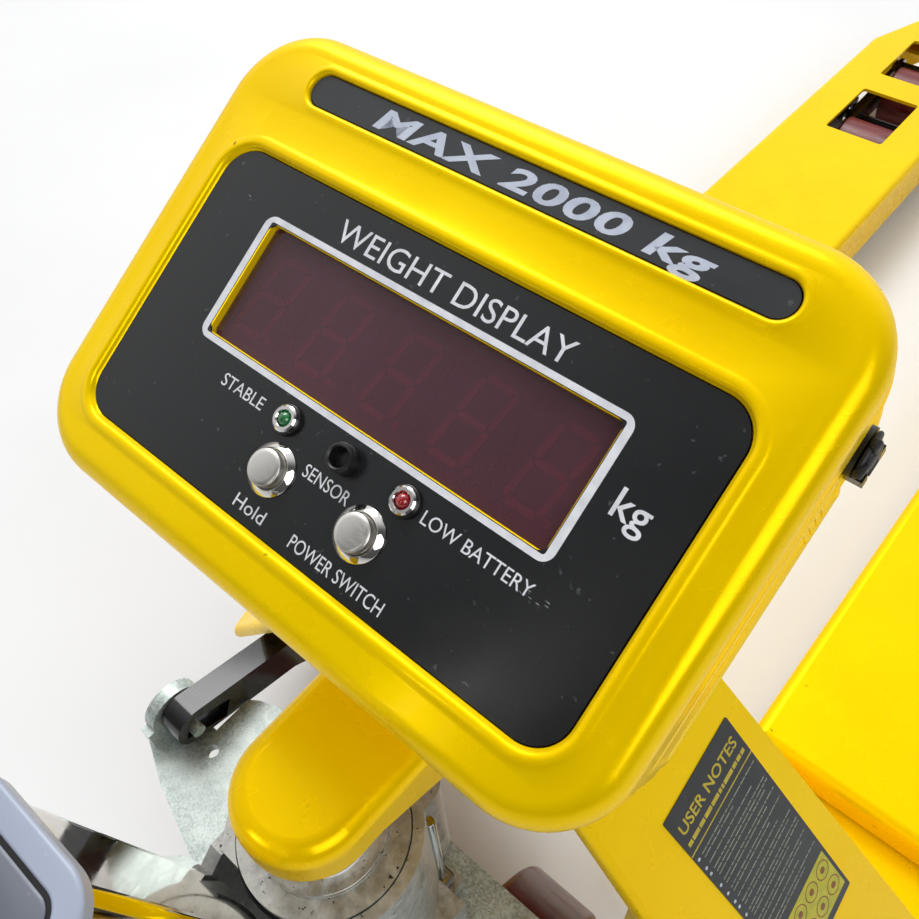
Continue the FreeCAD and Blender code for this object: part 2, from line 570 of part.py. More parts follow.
def pump_cap():
    """Stepped round cap on the cylinder, with its neck and three cast lugs."""
    disc = rod(PUMP_R, 6.0, (0, 0, PUMP_TOP - 6))
    disc = disc.fuse(rod(PUMP_R - 9, 2.0, (0, 0, PUMP_TOP)))
    neck = rod(19.6, 7.0, (0, 0, PUMP_TOP))
    lugs = []
    for angle in (-150, -100, -50, 60, 130):
        lug = box(21.0, 27.0, -2.5, 2.5, PUMP_TOP, PUMP_TOP + 5)
        lug.rotate(V(0, 0, 0), V(0, 0, 1), angle)
        lugs.append(lug)
    return join(disc, neck, *lugs).cut(rod(RAM_R + 0.6, 40, (0, 0, PUMP_TOP - 20)))


def on_tiller(solid):
    """Move a piece drawn upright on the tiller's pivot to its leaning place."""
    out = solid.copy()
    out.rotate(V(0, 0, 0), V(1, 0, 0), TILLER_LEAN)
    out.translate(V(0, *TILLER_PIVOT))
    return out


def tiller_boot():
    """Pressed box section that forms the lower part of the tiller, with the two pivot cheeks."""
    mid = (0, BOOT_FRONT - BOOT_DEPTH / 2)
    outer = slab(2 * BOOT_HALF_WIDTH, BOOT_DEPTH, 11.0, BOOT_LOW, BOOT_TOP, mid)
    flare = taper(BOOT_FOOT, (2 * BOOT_HALF_WIDTH, BOOT_DEPTH, 11.0), BOOT_LOW, BOOT_FLARE_TOP, mid)
    outer = outer.fuse(flare)
    inner = slab(2 * BOOT_HALF_WIDTH - 8, BOOT_DEPTH - 8, 7.0, BOOT_LOW - 1, BOOT_TOP - 6, mid)
    rim = slab(2 * BOOT_HALF_WIDTH + 6, BOOT_DEPTH + 6, 14.0, BOOT_TOP - 5, BOOT_TOP, mid)
    pieces = [outer.fuse(rim).cut(inner)]
    for sx in (-1, 1):
        x0 = sx * 41.0 - 3
        cheek = prism([(-13, 0), (13, 0), (12, BOOT_LOW + 24), (-30, BOOT_LOW + 24), (-30, BOOT_LOW - 14)],
                      "x", x0, 6)
        pieces.append(cheek.fuse(rod(13.0, 6, (x0, 0, 0), (1, 0, 0))))
    return on_tiller(join(*pieces).cut(rod(TILLER_PIN_R, 100, (-50, 0, 0), (1, 0, 0))))


def tiller_pivot():
    """Pivot pin through the pump's lugs, with its sleeve and the cam roller that presses the plunger."""
    pin = rod(TILLER_PIN_R, 90, (-45, *TILLER_PIVOT), (1, 0, 0))
    nuts = [hex_bolt((s * 44.5, *TILLER_PIVOT), (s, 0, 0), TILLER_PIN_R, 0.5, 1.6) for s in (-1, 1)]
    roller_z = PLUNGER_TOP + CAM_R + 0.5
    arms = [bar_yz(dx, dx + 5, TILLER_PIVOT, (PLUNGER_Y, roller_z), 8.0, 0, 0) for dx in (-24, 19)]
    wheel = rod(CAM_R, 22, (-11, PLUNGER_Y, roller_z), (1, 0, 0))
    axle = rod(4.0, 48, (-24, PLUNGER_Y, roller_z), (1, 0, 0))
    sleeves = [rod(11.0, 12, (x0, *TILLER_PIVOT), (1, 0, 0)) for x0 in (-24, 12)]
    return join(pin, *nuts, *arms, wheel, axle, *sleeves)


def handle_loop():
    """Closed D-shaped grip of bent tube at the top of the tiller."""
    r, half, low, high = 11.0, 82.0, 808.0, 906.0
    turn, spread = 38.0, 30.0
    side_x, root = half, (15.0, STEM_TOP - 14.0)
    lower_bend = V(side_x, 0, low + spread)
    right = [(V(root[0], 0, root[1]), V(side_x - spread, 0, low - 6)),
             (lower_bend, V(side_x, 0, high - turn))]
    top = (V(-half + turn, 0, high), V(half - turn, 0, high))
    edges = [Part.makeLine(*top)]
    for sx in (-1, 1):
        def flip(p):
            return V(sx * p.x, p.y, p.z)
        edges += [Part.makeLine(flip(a), flip(b)) for a, b in right]
        lead = (right[0][1] - right[0][0]).normalize()
        knee = right[0][1] + lead * spread * 0.45 + V(4.0, 0, 2.0)
        edges.append(Part.Arc(flip(right[0][1]), flip(knee), flip(lower_bend)).toShape())
        corner = V(half - turn * (1 - cos(radians(45))), 0, high - turn * (1 - sin(radians(45))))
        edges.append(Part.Arc(flip(right[1][1]), flip(corner), flip(top[1])).toShape())
    pieces = []
    for e in edges:
        section = Part.makeCircle(r, e.valueAt(e.FirstParameter), e.tangentAt(e.FirstParameter))
        pieces.append(Part.Wire([e]).makePipeShell([Part.Wire(section)], True, True))
    pieces += [Part.makeSphere(r, e.valueAt(t)) for e in edges for t in (e.FirstParameter, e.LastParameter)]
    for sx in (-1, 1):
        lug = box(sx * 11 - 2, sx * 11 + 2, -8, 8, STEM_TOP, LEVER_PIVOT_Z)
        pieces += [lug, rod(8.0, 4, (sx * 11 - 2, 0, LEVER_PIVOT_Z), (1, 0, 0))]
    return join(*pieces).cut(rod(4.05, 40, (-20, 0, LEVER_PIVOT_Z), (1, 0, 0)))


def control_lever():
    """Finger lever inside the grip: raise, drive and lower."""
    blade = box(-6, 6, -4, 4, LEVER_PIVOT_Z, 846.0)
    hub = rod(7.0, 16, (-8, 0, LEVER_PIVOT_Z), (1, 0, 0))
    pin = rod(4.0, 30, (-15, 0, LEVER_PIVOT_Z), (1, 0, 0))
    grip = rod(6.5, 64, (-32, 0, 846.0), (1, 0, 0))
    return join(blade, hub, pin, grip)


def release_lever():
    """Small arm at the pump's side that opens the lowering valve."""
    y, z = RELEASE_PIVOT
    arm = bar_yz(50, 55, RELEASE_PIVOT, (y - 58.0, z + 10.0), 8.0, 0, 3.0)
    return join(arm, rod(5.0, 22, (33, y, z), (1, 0, 0)))


def steering_wheel(side):
    x = side * WHEEL_X
    hub = tube(82.0, 20.05, WHEEL_WIDTH - 6, (x - WHEEL_WIDTH / 2 + 3, 0, WHEEL_R), (1, 0, 0))
    for sx in (-1, 1):
        face_x = x + sx * (WHEEL_WIDTH / 2 - 3)
        ring = tube(72.0, 30.0, 14, (face_x, 0, WHEEL_R), (-sx, 0, 0))
        hub = hub.cut(ring)
    tyre = tube(WHEEL_R, 82.0, WHEEL_WIDTH, (x - WHEEL_WIDTH / 2, 0, WHEEL_R), (1, 0, 0))
    tyre = round_edges(tyre, 5.0, lambda e: e.Curve.TypeId == "Part::GeomCircle" and e.Curve.Radius > 90)
    return hub, tyre


def bearings():
    """Two ball races in each steering wheel and the thrust ring under the plate."""
    races = [tube(20.0, AXLE_R, 10, (side * WHEEL_X + dx, 0, WHEEL_R), (1, 0, 0))
             for side in (-1, 1) for dx in (-20.0, 10.0)]
    return group(races + [tube(54.0, PUMP_R + 2, PLATE_Z - 0.3 - 209.0, (0, 0, 209.0))])


# ---------------------------------------------------------------- indicator
def front_cover():
    outer = slab(CASE[0], CASE[1], CASE_CORNER_R, PARTING, FACE, (0, CASE_MID_V))
    outer = round_edges(outer, 8.0, lambda e: all(abs(v.Z - FACE) < 1e-6 for v in e.Vertexes))
    inner = slab(CASE[0] - 2 * CASE_WALL, CASE[1] - 2 * CASE_WALL, CASE_CORNER_R - CASE_WALL, PARTING - 1,
                 FACE - 5, (0, CASE_MID_V))
    shell = outer.cut(inner)
    recess = taper((PANEL[0] + 1, PANEL[1] + 1, PANEL_R + 0.5), (PANEL[0] + 7, PANEL[1] + 7, PANEL_R + 3.5),
                   0.0, FACE + 0.01)
    slot = taper((STRIP[0] + 1, STRIP[1] + 1, STRIP[1] / 2 + 0.4),
                 (STRIP[0] + 5, STRIP[1] + 5, STRIP[1] / 2 + 2.4), 0.6, FACE + 0.01, STRIP_MID)
    shell = shell.cut(recess).cut(slot)
    shell = shell.cut(slab(*WINDOW_OPEN, 3.0, -10, 5, WINDOW_MID))
    for u, v in BUTTON_AT.values():
        shell = shell.cut(rod(8.05, 20, (u, v, -10)))
    for u, v in list(LED_AT.values()) + [IR_AT]:
        shell = shell.cut(rod(4.05, 20, (u, v, -10)))
    for u, v in screw_places():
        boss = tube(4.0, 1.7, FACE - 5 - PARTING, (u, v, PARTING))
        shell = shell.fuse(boss)
    return shell.removeSplitter()


def screw_places():
    half_u, half_v = CASE[0] / 2 - 13, CASE[1] / 2 - 13
    return [(u, CASE_MID_V + v) for u in (-half_u, 0.0, half_u) for v in (-half_v, half_v)]


def rear_case():
    w, h = CASE[0] - 3, CASE[1] - 3
    r = CASE_CORNER_R - 1.5
    outer = slab(w, h, r, CASE_BACK, PARTING - 0.8, (0, CASE_MID_V))
    outer = round_edges(outer, 7.0, lambda e: all(abs(v.Z - CASE_BACK) < 1e-6 for v in e.Vertexes))
    inner = slab(w - 2 * CASE_WALL, h - 2 * CASE_WALL, r - CASE_WALL, CASE_BACK + CASE_WALL, PARTING + 1,
                 (0, CASE_MID_V))
    shell = outer.cut(inner)
    side_u = w / 2
    half_v, half_n = BATTERY_DOOR[1] / 2, BATTERY_DOOR[2] / 2
    mid_v, mid_n = DOOR_MID
    shell = shell.cut(box(side_u - 10, side_u + 1, mid_v - half_v, mid_v + half_v,
                          mid_n - half_n, mid_n + half_n))
    shell = shell.cut(rod(6.05, 20, (side_u - 12, *SOCKET_AT), (1, 0, 0)))
    shell = shell.cut(rod(8.0, 20, (-60, -54, CASE_BACK - 5)))
    for u, v in screw_places():
        post = tube(4.5, 2.2, PARTING - 0.8 - CASE_BACK - 1, (u, v, CASE_BACK + 1))
        shell = shell.cut(rod(2.2, 45, (u, v, CASE_BACK - 5))).fuse(post)
        shell = shell.cut(rod(4.0, 3.0, (u, v, CASE_BACK - 0.5)))
    for u, v in bracket_holes():
        shell = shell.cut(rod(3.2, 12, (u, v, CASE_BACK - 5)))
    return shell.removeSplitter()


def bracket_holes():
    return [(u + 19.0, v) for u in (-38.0, 38.0) for v in (-12.0, 40.0)]


def cover_gasket():
    ring = slab(CASE[0] - 3, CASE[1] - 3, CASE_CORNER_R - 1.5, PARTING - 0.8, PARTING, (0, CASE_MID_V))
    hole = slab(CASE[0] - 9, CASE[1] - 9, CASE_CORNER_R - 4.5, PARTING - 2, PARTING + 1, (0, CASE_MID_V))
    return ring.cut(hole)


def panel_overlay():
    sheet = slab(*PANEL, PANEL_R, 0.0, 0.8)
    sheet = sheet.cut(slab(*WINDOW_OPEN, 3.0, -1, 2, WINDOW_MID))
    for u, v in BUTTON_AT.values():
        sheet = sheet.cut(rod(8.05, 5, (u, v, -1)))
    for u, v in list(LED_AT.values()) + [IR_AT]:
        sheet = sheet.cut(rod(4.05, 5, (u, v, -1)))
    return sheet


def button_body(u, v):
    flange = rod(9.0, 1.9, (u, v, 0.8))
    flange = flange.makeChamfer(0.9, [e for e in flange.Edges if abs(e.CenterOfMass.z - 2.7) < 1e-6
                                      and e.Curve.TypeId == "Part::GeomCircle"])
    barrel = rod(8.0, 22.8, (u, v, -22.0))
    nut = rod(11.0, 3.0, (u, v, -6.2)).common(box(u - 9.5, u + 9.5, v - 11, v + 11, -10, 0))
    return join(flange, barrel, nut).cut(rod(BUTTON_CAP_R + 0.15, 24, (u, v, -18.0)))


def button_cap(u, v):
    cap = rod(BUTTON_CAP_R, 20.0, (u, v, -14.0))
    return round_edges(cap, 0.9, lambda e: abs(e.CenterOfMass.z - 6.0) < 1e-6
                       and e.Curve.TypeId == "Part::GeomCircle")


def led_bezel(u, v):
    ring = rod(4.8, 3.0, (u, v, 0.8)).fuse(rod(4.0, 14.0, (u, v, -12.0)))
    return ring.removeSplitter().cut(rod(2.55, 30, (u, v, -20)))


def led_lens(u, v):
    body = rod(2.5, 9.0, (u, v, -7.0)).fuse(Part.makeSphere(2.5, V(u, v, 2.0)))
    legs = [rod(0.3, 8.0, (u + d, v, -15.0)) for d in (-1.27, 1.27)]
    return join(body, *legs)


def ir_receiver(u, v):
    hood = tube(5.0, 3.4, 5.2, (u, v, 0.8)).fuse(rod(4.0, 9.0, (u, v, -8.2)))
    eye = rod(3.4, 2.2, (u, v, 0.8))
    return join(hood, eye)


def digit_modules():
    out = []
    for k in range(DIGITS):
        u = DIGIT_MID[0] + (k - 2) * DIGIT_PITCH
        module = box(u - 14.0, u + 14.0, DIGIT_MID[1] - 19.0, DIGIT_MID[1] + 19.0, DIGIT_BACK, DIGIT_FACE)
        out.append(module)
    return group(out)


def window_filter():
    """Tinted plate let into the window, with a flange behind the cover's wall."""
    plate = slab(WINDOW_OPEN[0] - 0.3, WINDOW_OPEN[1] - 0.3, 2.8, -4.0, FILTER_FACE, WINDOW_MID)
    flange = slab(WINDOW_OPEN[0] + 7, WINDOW_OPEN[1] + 7, 4.0, -5.5, FACE - 5 - 0.1, WINDOW_MID)
    return plate.fuse(flange).removeSplitter()


def display_board():
    face = DIGIT_BACK - 0.1
    board = box(-78, 78, DIGIT_MID[1] - 26, DIGIT_MID[1] + 26, face - BOARD_T, face)
    for k in range(DIGITS):
        u = DIGIT_MID[0] + (k - 2) * DIGIT_PITCH
        chip = box(u - 9, u + 9, DIGIT_MID[1] - 4, DIGIT_MID[1] + 4, face - BOARD_T - 2, face - BOARD_T)
        board = board.fuse(chip)
    return board.removeSplitter()


def main_board():
    board = box(-100, 20, -24, 76, -41.6, -40.0)
    chips = [box(-80, -62, 20, 38, -40.0, -37.0), box(-40, -22, 10, 24, -40.0, -37.6),
             box(-92, -70, -14, 4, -40.0, -29.0), box(-6, 14, 54, 70, -40.0, -30.0)]
    cans = [rod(5.0, 13.0, (u, 62.0, -40.0)) for u in (-80.0, -66.0, -52.0)]
    return join(board, *chips, *cans)


def battery_pack():
    body = box(44.0, 114.0, -44.0, 50.0, -52.0, -24.0)
    body = round_edges(body, 3.0, lambda e: e.BoundBox.ZLength > 20)
    posts = [box(60, 66, 50.0, 53.0, -42, -36), box(88, 94, 50.0, 53.0, -42, -36)]
    return join(body, *posts)


def battery_door():
    t, height, depth = BATTERY_DOOR
    side_u = (CASE[0] - 3) / 2
    pad = box(side_u - 3.0, side_u + 1.2, 4 - height / 2 + 0.4, 4 + height / 2 - 0.4, -34 - depth / 2 + 0.4,
              -34 + depth / 2 - 0.4)
    return round_edges(pad, 1.2, lambda e: e.CenterOfMass.x > side_u + 1.1)


def charge_socket():
    side_u = (CASE[0] - 3) / 2
    barrel = tube(6.0, 3.6, 14.0, (side_u - 12.0, *SOCKET_AT), (1, 0, 0))
    flange = tube(8.0, 3.6, 2.5, (side_u, *SOCKET_AT), (1, 0, 0))
    back = rod(6.0, 2.0, (side_u - 12.0, *SOCKET_AT), (1, 0, 0))
    v, n = SOCKET_AT
    ears = [box(side_u, side_u + 5.6, v + dv, v + dv + 3.0, n - 16.0, n - 8.2) for dv in (-6.4, 3.4)]
    return join(barrel, flange, back, *ears)


def charge_cap():
    """Rubber cap over the socket, with a strap and two wings; hinged on the strap side."""
    side_u = (CASE[0] - 3) / 2
    v, n = SOCKET_AT
    lid = rod(7.5, 3.0, (side_u + 2.9, v, n), (1, 0, 0))
    strap = box(side_u + 2.9, side_u + 5.4, v - 3, v + 3, n - 13.0, n)
    knuckle = rod(2.4, 6.0, (side_u + 3.2, v - 3, n - 13.0), (0, 1, 0))
    wing = box(side_u + 2.9, side_u + 5.9, v + 5, v + 11, n - 2, n + 2)
    return join(lid, strap, knuckle, wing)


def cable_gland():
    body = rod(7.9, 8.0, (-60, -54, CASE_BACK - 0.5))
    flange = rod(11.5, 5.0, (-60, -54, CASE_BACK - 5.5)).common(
        box(-70, -50, -66, -42, CASE_BACK - 10, CASE_BACK + 1))
    dome = Part.makeCone(9.5, 6.5, 11.0, V(-60, -54, CASE_BACK - 5.5), V(0, 0, -1))
    return join(body, flange, dome).cut(rod(3.4, 40, (-60, -54, CASE_BACK - 25)))


def cover_screws():
    out = []
    for u, v in screw_places():
        head = rod(3.8, 2.2, (u, v, CASE_BACK + 0.2))
        shank = rod(1.7, 42.0, (u, v, CASE_BACK + 2.4))
        out.append(on_face(head.fuse(shank)))
    return out


def mounting_bracket():
    """Bent steel bracket: foot on the nose, post, and a plate on the back of the case."""
    lean = FreeCAD.Placement(V(*IND_CENTRE), FreeCAD.Rotation(V(1, 0, 0), IND_TILT))
    plate = box(-38, 76, -28, 56, CASE_BACK - 5, CASE_BACK)
    for u, v in bracket_holes():
        plate = plate.cut(rod(3.2, 12, (u, v, CASE_BACK - 8)))
    plate.Placement = lean
    post = box(-22, 22, 86, 132, NOSE_TOP + 5, 560.0)
    post = round_edges(post, 6.0, lambda e: e.BoundBox.ZLength > 100)
    post = post.cut(box(-19, 19, 89, 129, NOSE_TOP + 5, 560.0))
    above = box(-200, 200, -200, 200, CASE_BACK - 4, 400)
    above.Placement = lean
    foot = box(-27, 27, 62, 146, NOSE_TOP, NOSE_TOP + 5)
    for x, y in foot_holes():
        foot = foot.cut(rod(4.2, 20, (x, y, NOSE_TOP - 5)))
    return join(post.cut(above), plate, foot)


def foot_holes():
    return [(x, y) for x in (-14.0, 14.0) for y in (72.0, 139.0)]


def bracket_bolts():
    out = []
    for u, v in bracket_holes():
        out.append(on_face(hex_bolt((u, v, CASE_BACK - 5), (0, 0, -1), 3.0, 5 + CASE_WALL + 2)))
    for x, y in foot_holes():
        out.append(hex_bolt((x, y, NOSE_TOP + 5), (0, 0, 1), 4.0, 9.0))
    return out


# ---------------------------------------------------------------- assembly
def main():
    parts = {}
    holes = group([rod(4.0, 20, (x, y, NOSE_TOP - 12)) for x, y in foot_holes()])
    parts["lift_frame"] = lift_frame().cut(holes)
    for name, side in (("left", -1), ("right", 1)):
        parts["fork_beam_" + name] = fork_beam(side)
        parts["weigh_cover_" + name] = weigh_cover(side)
        parts["push_rod_" + name] = push_rod(side)
        parts["roller_arm_" + name] = roller_arm(side)
        parts["roller_bogie_" + name] = bogie(side)
        for place, y in zip(("rear", "front"), ROLLER_Y):
            core, tyre = load_roller(side, y)
            parts["load_roller_%s_%s" % (place, name)] = group([core, tyre])
        hub, tyre = steering_wheel(side)
        parts["wheel_hub_" + name] = hub
        parts["wheel_tyre_" + name] = tyre
    parts["load_cells"] = load_cells()
    parts["junction_box"] = junction_box()
    parts["shoulder_label"] = safety_label()
    parts["rocker"] = rocker()
    parts["thrust_plate"] = thrust_plate()
    parts["bearings"] = bearings()
    parts["ram"] = rod(RAM_R, NOSE_TOP - 6 - 150.0, (0, 0, 150.0))
    parts["pump_body"] = pump_body()
    parts["pump_cap"] = pump_cap()
    parts["dust_ring"] = tube(16.4, RAM_R + 0.3, 4.0, (0, 0, PUMP_TOP + 7))
    head_low = PLUNGER_TOP - 5.0
    parts["plunger"] = rod(8.0, head_low - PLUNGER_LOW, (0, PLUNGER_Y, PLUNGER_LOW)).fuse(
        rod(11.0, 5.0, (0, PLUNGER_Y, head_low)))
    parts["plunger_spring"] = tube(10.8, 8.6, head_low - BLOCK_TOP - 0.4, (0, PLUNGER_Y, BLOCK_TOP + 0.2))
    parts["wheel_axle"] = rod(AXLE_R, 2 * (WHEEL_X + WHEEL_WIDTH / 2 + 6),
                              (-WHEEL_X - WHEEL_WIDTH / 2 - 6, 0, WHEEL_R), (1, 0, 0))
    parts["tiller_boot"] = tiller_boot()
    parts["tiller_pivot"] = tiller_pivot()
    handle = handle_loop()
    stem = rod(TUBE_R, STEM_TOP - BOOT_TOP, (0, 0, BOOT_TOP))
    upper = {"tiller_tube": stem, "handle_loop": handle.cut(stem), "control_lever": control_lever()}
    for name, solid in upper.items():
        solid.translate(V(0, BOOT_FRONT - BOOT_DEPTH / 2, 0))
        parts[name] = on_tiller(solid)
    parts["release_lever"] = release_lever()
    flat = {"front_cover": front_cover(), "rear_case": rear_case(), "cover_gasket": cover_gasket(),
            "panel_overlay": panel_overlay(), "digit_modules": digit_modules(),
            "circuit_boards": group([display_board(), main_board()]), "battery_pack": battery_pack(),
            "battery_door": battery_door(), "charge_socket": charge_socket(), "charge_cap": charge_cap(),
            "cable_gland": cable_gland(),
            "capacity_strip": slab(*STRIP, STRIP[1] / 2 - 0.01, 0.6, 1.1, STRIP_MID),
            "window_filter": window_filter(),
            "button_bodies": group([button_body(*at) for at in BUTTON_AT.values()]),
            "led_bezels": group([led_bezel(*at) for at in LED_AT.values()]),
            "ir_receiver": ir_receiver(*IR_AT)}
    for name, at in BUTTON_AT.items():
        flat[name] = button_cap(*at)
    for name, at in LED_AT.items():
        flat[name] = led_lens(*at)
    for name, solid in flat.items():
        parts[name] = on_face(solid)
    parts["mounting_bracket"] = mounting_bracket()
    parts["screws_and_bolts"] = group(cover_screws() + load_cell_bolts() + bracket_bolts())

    os.makedirs("parts", exist_ok=True)
    for name, solid in parts.items():
        moved = solid.copy()
        moved.translate(V(0, -ORIGIN_Y, 0))
        if not moved.isValid():
            print("not valid:", name)
        moved.exportStep("parts/%s.step" % name)
    low = min(solid.BoundBox.YMin for solid in parts.values())
    high = max(solid.BoundBox.YMax for solid in parts.values())
    print("nodes", len(parts), "footprint's middle", round((low + high) / 2, 3))
    print("rocker turn", round(degrees(ROCKER_TURN), 3), "roller arm turn", round(degrees(ARM_TURN), 3))
    print("roller arm pivot", round(PIVOT_Y, 3), "rod rear pin", ROD_REAR)


main()
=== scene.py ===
"""Looks of the hand pallet truck with a built-in scale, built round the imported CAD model.

Lengths written in the script are millimetres. Pieces of the indicator are drawn in the face's own
frame (u to the right, v up the face, n out of it), pieces of the truck in the steering frame (X = Y = 0
on the steering axis, Z = 0 on the floor). Both are turned into the row frame's metres by a matrix.
"""
import json
import math
import random

import bmesh
import bpy
from mathutils import Matrix, Vector


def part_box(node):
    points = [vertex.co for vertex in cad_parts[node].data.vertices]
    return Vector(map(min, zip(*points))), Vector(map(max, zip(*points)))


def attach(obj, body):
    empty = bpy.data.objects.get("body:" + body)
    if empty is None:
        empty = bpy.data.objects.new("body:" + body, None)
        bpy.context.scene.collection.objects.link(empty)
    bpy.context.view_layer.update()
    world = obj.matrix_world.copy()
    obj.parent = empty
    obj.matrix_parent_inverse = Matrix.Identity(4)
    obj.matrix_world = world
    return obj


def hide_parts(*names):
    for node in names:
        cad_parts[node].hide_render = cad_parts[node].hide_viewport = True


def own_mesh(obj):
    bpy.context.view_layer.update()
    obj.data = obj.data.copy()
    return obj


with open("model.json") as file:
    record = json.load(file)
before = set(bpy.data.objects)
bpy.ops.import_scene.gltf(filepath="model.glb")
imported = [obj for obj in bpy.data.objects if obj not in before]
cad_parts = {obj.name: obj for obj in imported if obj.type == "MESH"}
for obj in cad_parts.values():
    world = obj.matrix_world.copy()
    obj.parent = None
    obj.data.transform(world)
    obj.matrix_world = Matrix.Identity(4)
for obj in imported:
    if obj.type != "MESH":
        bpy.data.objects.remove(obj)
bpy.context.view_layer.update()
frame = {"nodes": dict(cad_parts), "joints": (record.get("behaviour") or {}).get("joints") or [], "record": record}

MM = 0.001
JOINTS = {j["name"]: j for j in frame["joints"]}
NODES = frame["nodes"]
CHASSIS = "chassis"

# ---------------------------------------------------------------- frames
STEER_Y = JOINTS["steer"]["pos_m"][1]
TRUCK = Matrix.Translation((0.0, STEER_Y, 0.0)) @ Matrix.Scale(MM, 4)

OUT = -Vector(JOINTS["hold_button"]["axis"])
TILT = math.atan2(-OUT.y, OUT.z)
panel_low, panel_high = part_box("panel_overlay")
PANEL_MID = (panel_low + panel_high) / 2 - OUT * 0.4 * MM
FACE = Matrix.Translation(PANEL_MID) @ Matrix.Rotation(TILT, 4, "X") @ Matrix.Scale(MM, 4)

LEAN = math.radians(8.75)
PIVOT = Vector(JOINTS["tiller_fold"]["pos_m"])
BOOT_MID = -1.0
BOOT_TOP = 208.0
TUBE_R = 17.0
GRIP_R, GRIP_HALF, GRIP_SIDE = 11.0, 82.0, (840.0, 866.0)
FINGER_BAR_Z = 846.0
TIE_ROD = (25.7, 34.0)
CAP_TOP = 358.0
PLUNGER_Y = -80.0
SPRING_Z = (270.2, 314.1)
WHEEL_R, WHEEL_X = 100.0, 65.0
TILLER = Matrix.Translation(PIVOT) @ Matrix.Rotation(LEAN, 4, "X") @ Matrix.Scale(MM, 4)


# ---------------------------------------------------------------- node helpers
class Graph:
    """Short way to write a material's nodes."""

    def __init__(self, name):
        self.material = bpy.data.materials.new(name)
        self.material.use_nodes = True
        self.nodes = self.material.node_tree.nodes
        self.links = self.material.node_tree.links
        self.shader = self.nodes["Principled BSDF"]
        self.place = self.nodes.new("ShaderNodeTexCoord").outputs["Object"]

    def add(self, kind, inputs=None, **settings):
        node = self.nodes.new(kind)
        for key, value in settings.items():
            setattr(node, key, value)
        for key, value in (inputs or {}).items():
            if isinstance(value, bpy.types.NodeSocket):
                self.links.new(value, node.inputs[key])
            else:
                node.inputs[key].default_value = value
        return node

    def noise(self, scale, detail=3.0, rough=0.5, stretch=None, distortion=0.0):
        place = self.place
        if stretch:
            place = self.add("ShaderNodeMapping", {"Vector": self.place, "Scale": stretch}).outputs[0]
        made = self.add("ShaderNodeTexNoise", {"Vector": place, "Scale": scale, "Detail": detail,
                                               "Roughness": rough, "Distortion": distortion})
        return made.outputs["Fac"]

    def cells(self, scale, feature="F1"):
        made = self.add("ShaderNodeTexVoronoi", {"Vector": self.place, "Scale": scale}, feature=feature)
        return made.outputs

    def span(self, value, low, high, to_low=0.0, to_high=1.0):
        made = self.add("ShaderNodeMapRange", {"Value": value, "From Min": low, "From Max": high,
                                               "To Min": to_low, "To Max": to_high})
        return made.outputs[0]

    def math(self, operation, a, b):
        return self.add("ShaderNodeMath", {0: a, 1: b}, operation=operation).outputs[0]

    def mix(self, share, a, b):
        node = self.nodes.new("ShaderNodeMix")
        node.data_type = "RGBA"
        for key, value in ((0, share), (6, a), (7, b)):
            if isinstance(value, bpy.types.NodeSocket):
                self.links.new(value, node.inputs[key])
            else:
                node.inputs[key].default_value = value
        return node.outputs[2]

    def colour(self, value):
        self.links.new(value, self.shader.inputs["Base Color"])

    def rough(self, value):
        self.links.new(value, self.shader.inputs["Roughness"])

    def bump(self, height, strength, distance=0.001):
        node = self.add("ShaderNodeBump", {"Height": height, "Strength": strength,
                                           "Distance": distance})
        self.links.new(node.outputs[0], self.shader.inputs["Normal"])

    def fixed(self, **values):
        for key, value in values.items():
            self.shader.inputs[key.replace("_", " ")].default_value = value
        return self.material


def rgb(red, green, blue):
    """Colour from 0-255 screen values."""
    def linear(c):
        c /= 255
        return c / 12.92 if c < 0.04045 else ((c + 0.055) / 1.055) ** 2.4
    return (linear(red), linear(green), linear(blue), 1.0)


def paint(name, main, deep, pale, gleam, coat):
    """Gloss paint: faint cloudiness, orange peel, dust and a few dark nicks."""
    g = Graph(name)
    clouds = g.span(g.noise(7.0, 4.0), 0.35, 0.65)
    colour = g.mix(clouds, deep, main)
    dust = g.span(g.noise(240.0, 2.0), 0.62, 0.76, 0.0, 0.25)
    colour = g.mix(dust, colour, pale)
    nicks = g.span(g.noise(150.0, 2.0), 0.765, 0.80, 0.0, 0.8)
    g.colour(g.mix(nicks, colour, rgb(96, 78, 12)))
    g.rough(g.span(g.noise(30.0, 4.0), 0.3, 0.7, 0.20, 0.34))
    g.bump(g.noise(420.0, 1.5), 0.05, 0.0006)
    return g.fixed(Coat_Weight=coat, Coat_Roughness=0.10, Specular_Tint=gleam,
                   Specular_IOR_Level=0.22, Metallic=0.25)


def plastic(name, main, speck, low=0.32, high=0.5, grain=900.0, depth=0.06):
    """Moulded plastic or film with fine grain and scattered dust."""
    g = Graph(name)
    lighter = tuple(c * 1.25 for c in main[:3]) + (1.0,)
    tone = g.mix(g.span(g.noise(14.0, 4.0), 0.3, 0.7), main, lighter)
    dust = g.span(g.noise(380.0, 2.0), 0.70, 0.78, 0.0, 0.55)
    g.colour(g.mix(dust, tone, speck))
    g.rough(g.span(g.noise(60.0, 5.0), 0.3, 0.7, low, high))
    g.bump(g.noise(grain, 2.0), depth, 0.0004)
    return g.fixed()


def metal(name, main, low, high, stretch=None, wear=0.12, scale=120.0, depth=0.03, metallic=1.0):
    """Bare metal with smudges and fine lines along one direction."""
    g = Graph(name)
    dull = tuple(c * (1 - wear) for c in main[:3]) + (1.0,)
    g.colour(g.mix(g.span(g.noise(24.0, 5.0), 0.3, 0.7), dull, main))
    g.rough(g.span(g.noise(scale, 4.0, stretch=stretch), 0.3, 0.7, low, high))
    g.bump(g.noise(scale * 3, 3.0, stretch=stretch), depth, 0.0003)
    return g.fixed(Metallic=metallic)


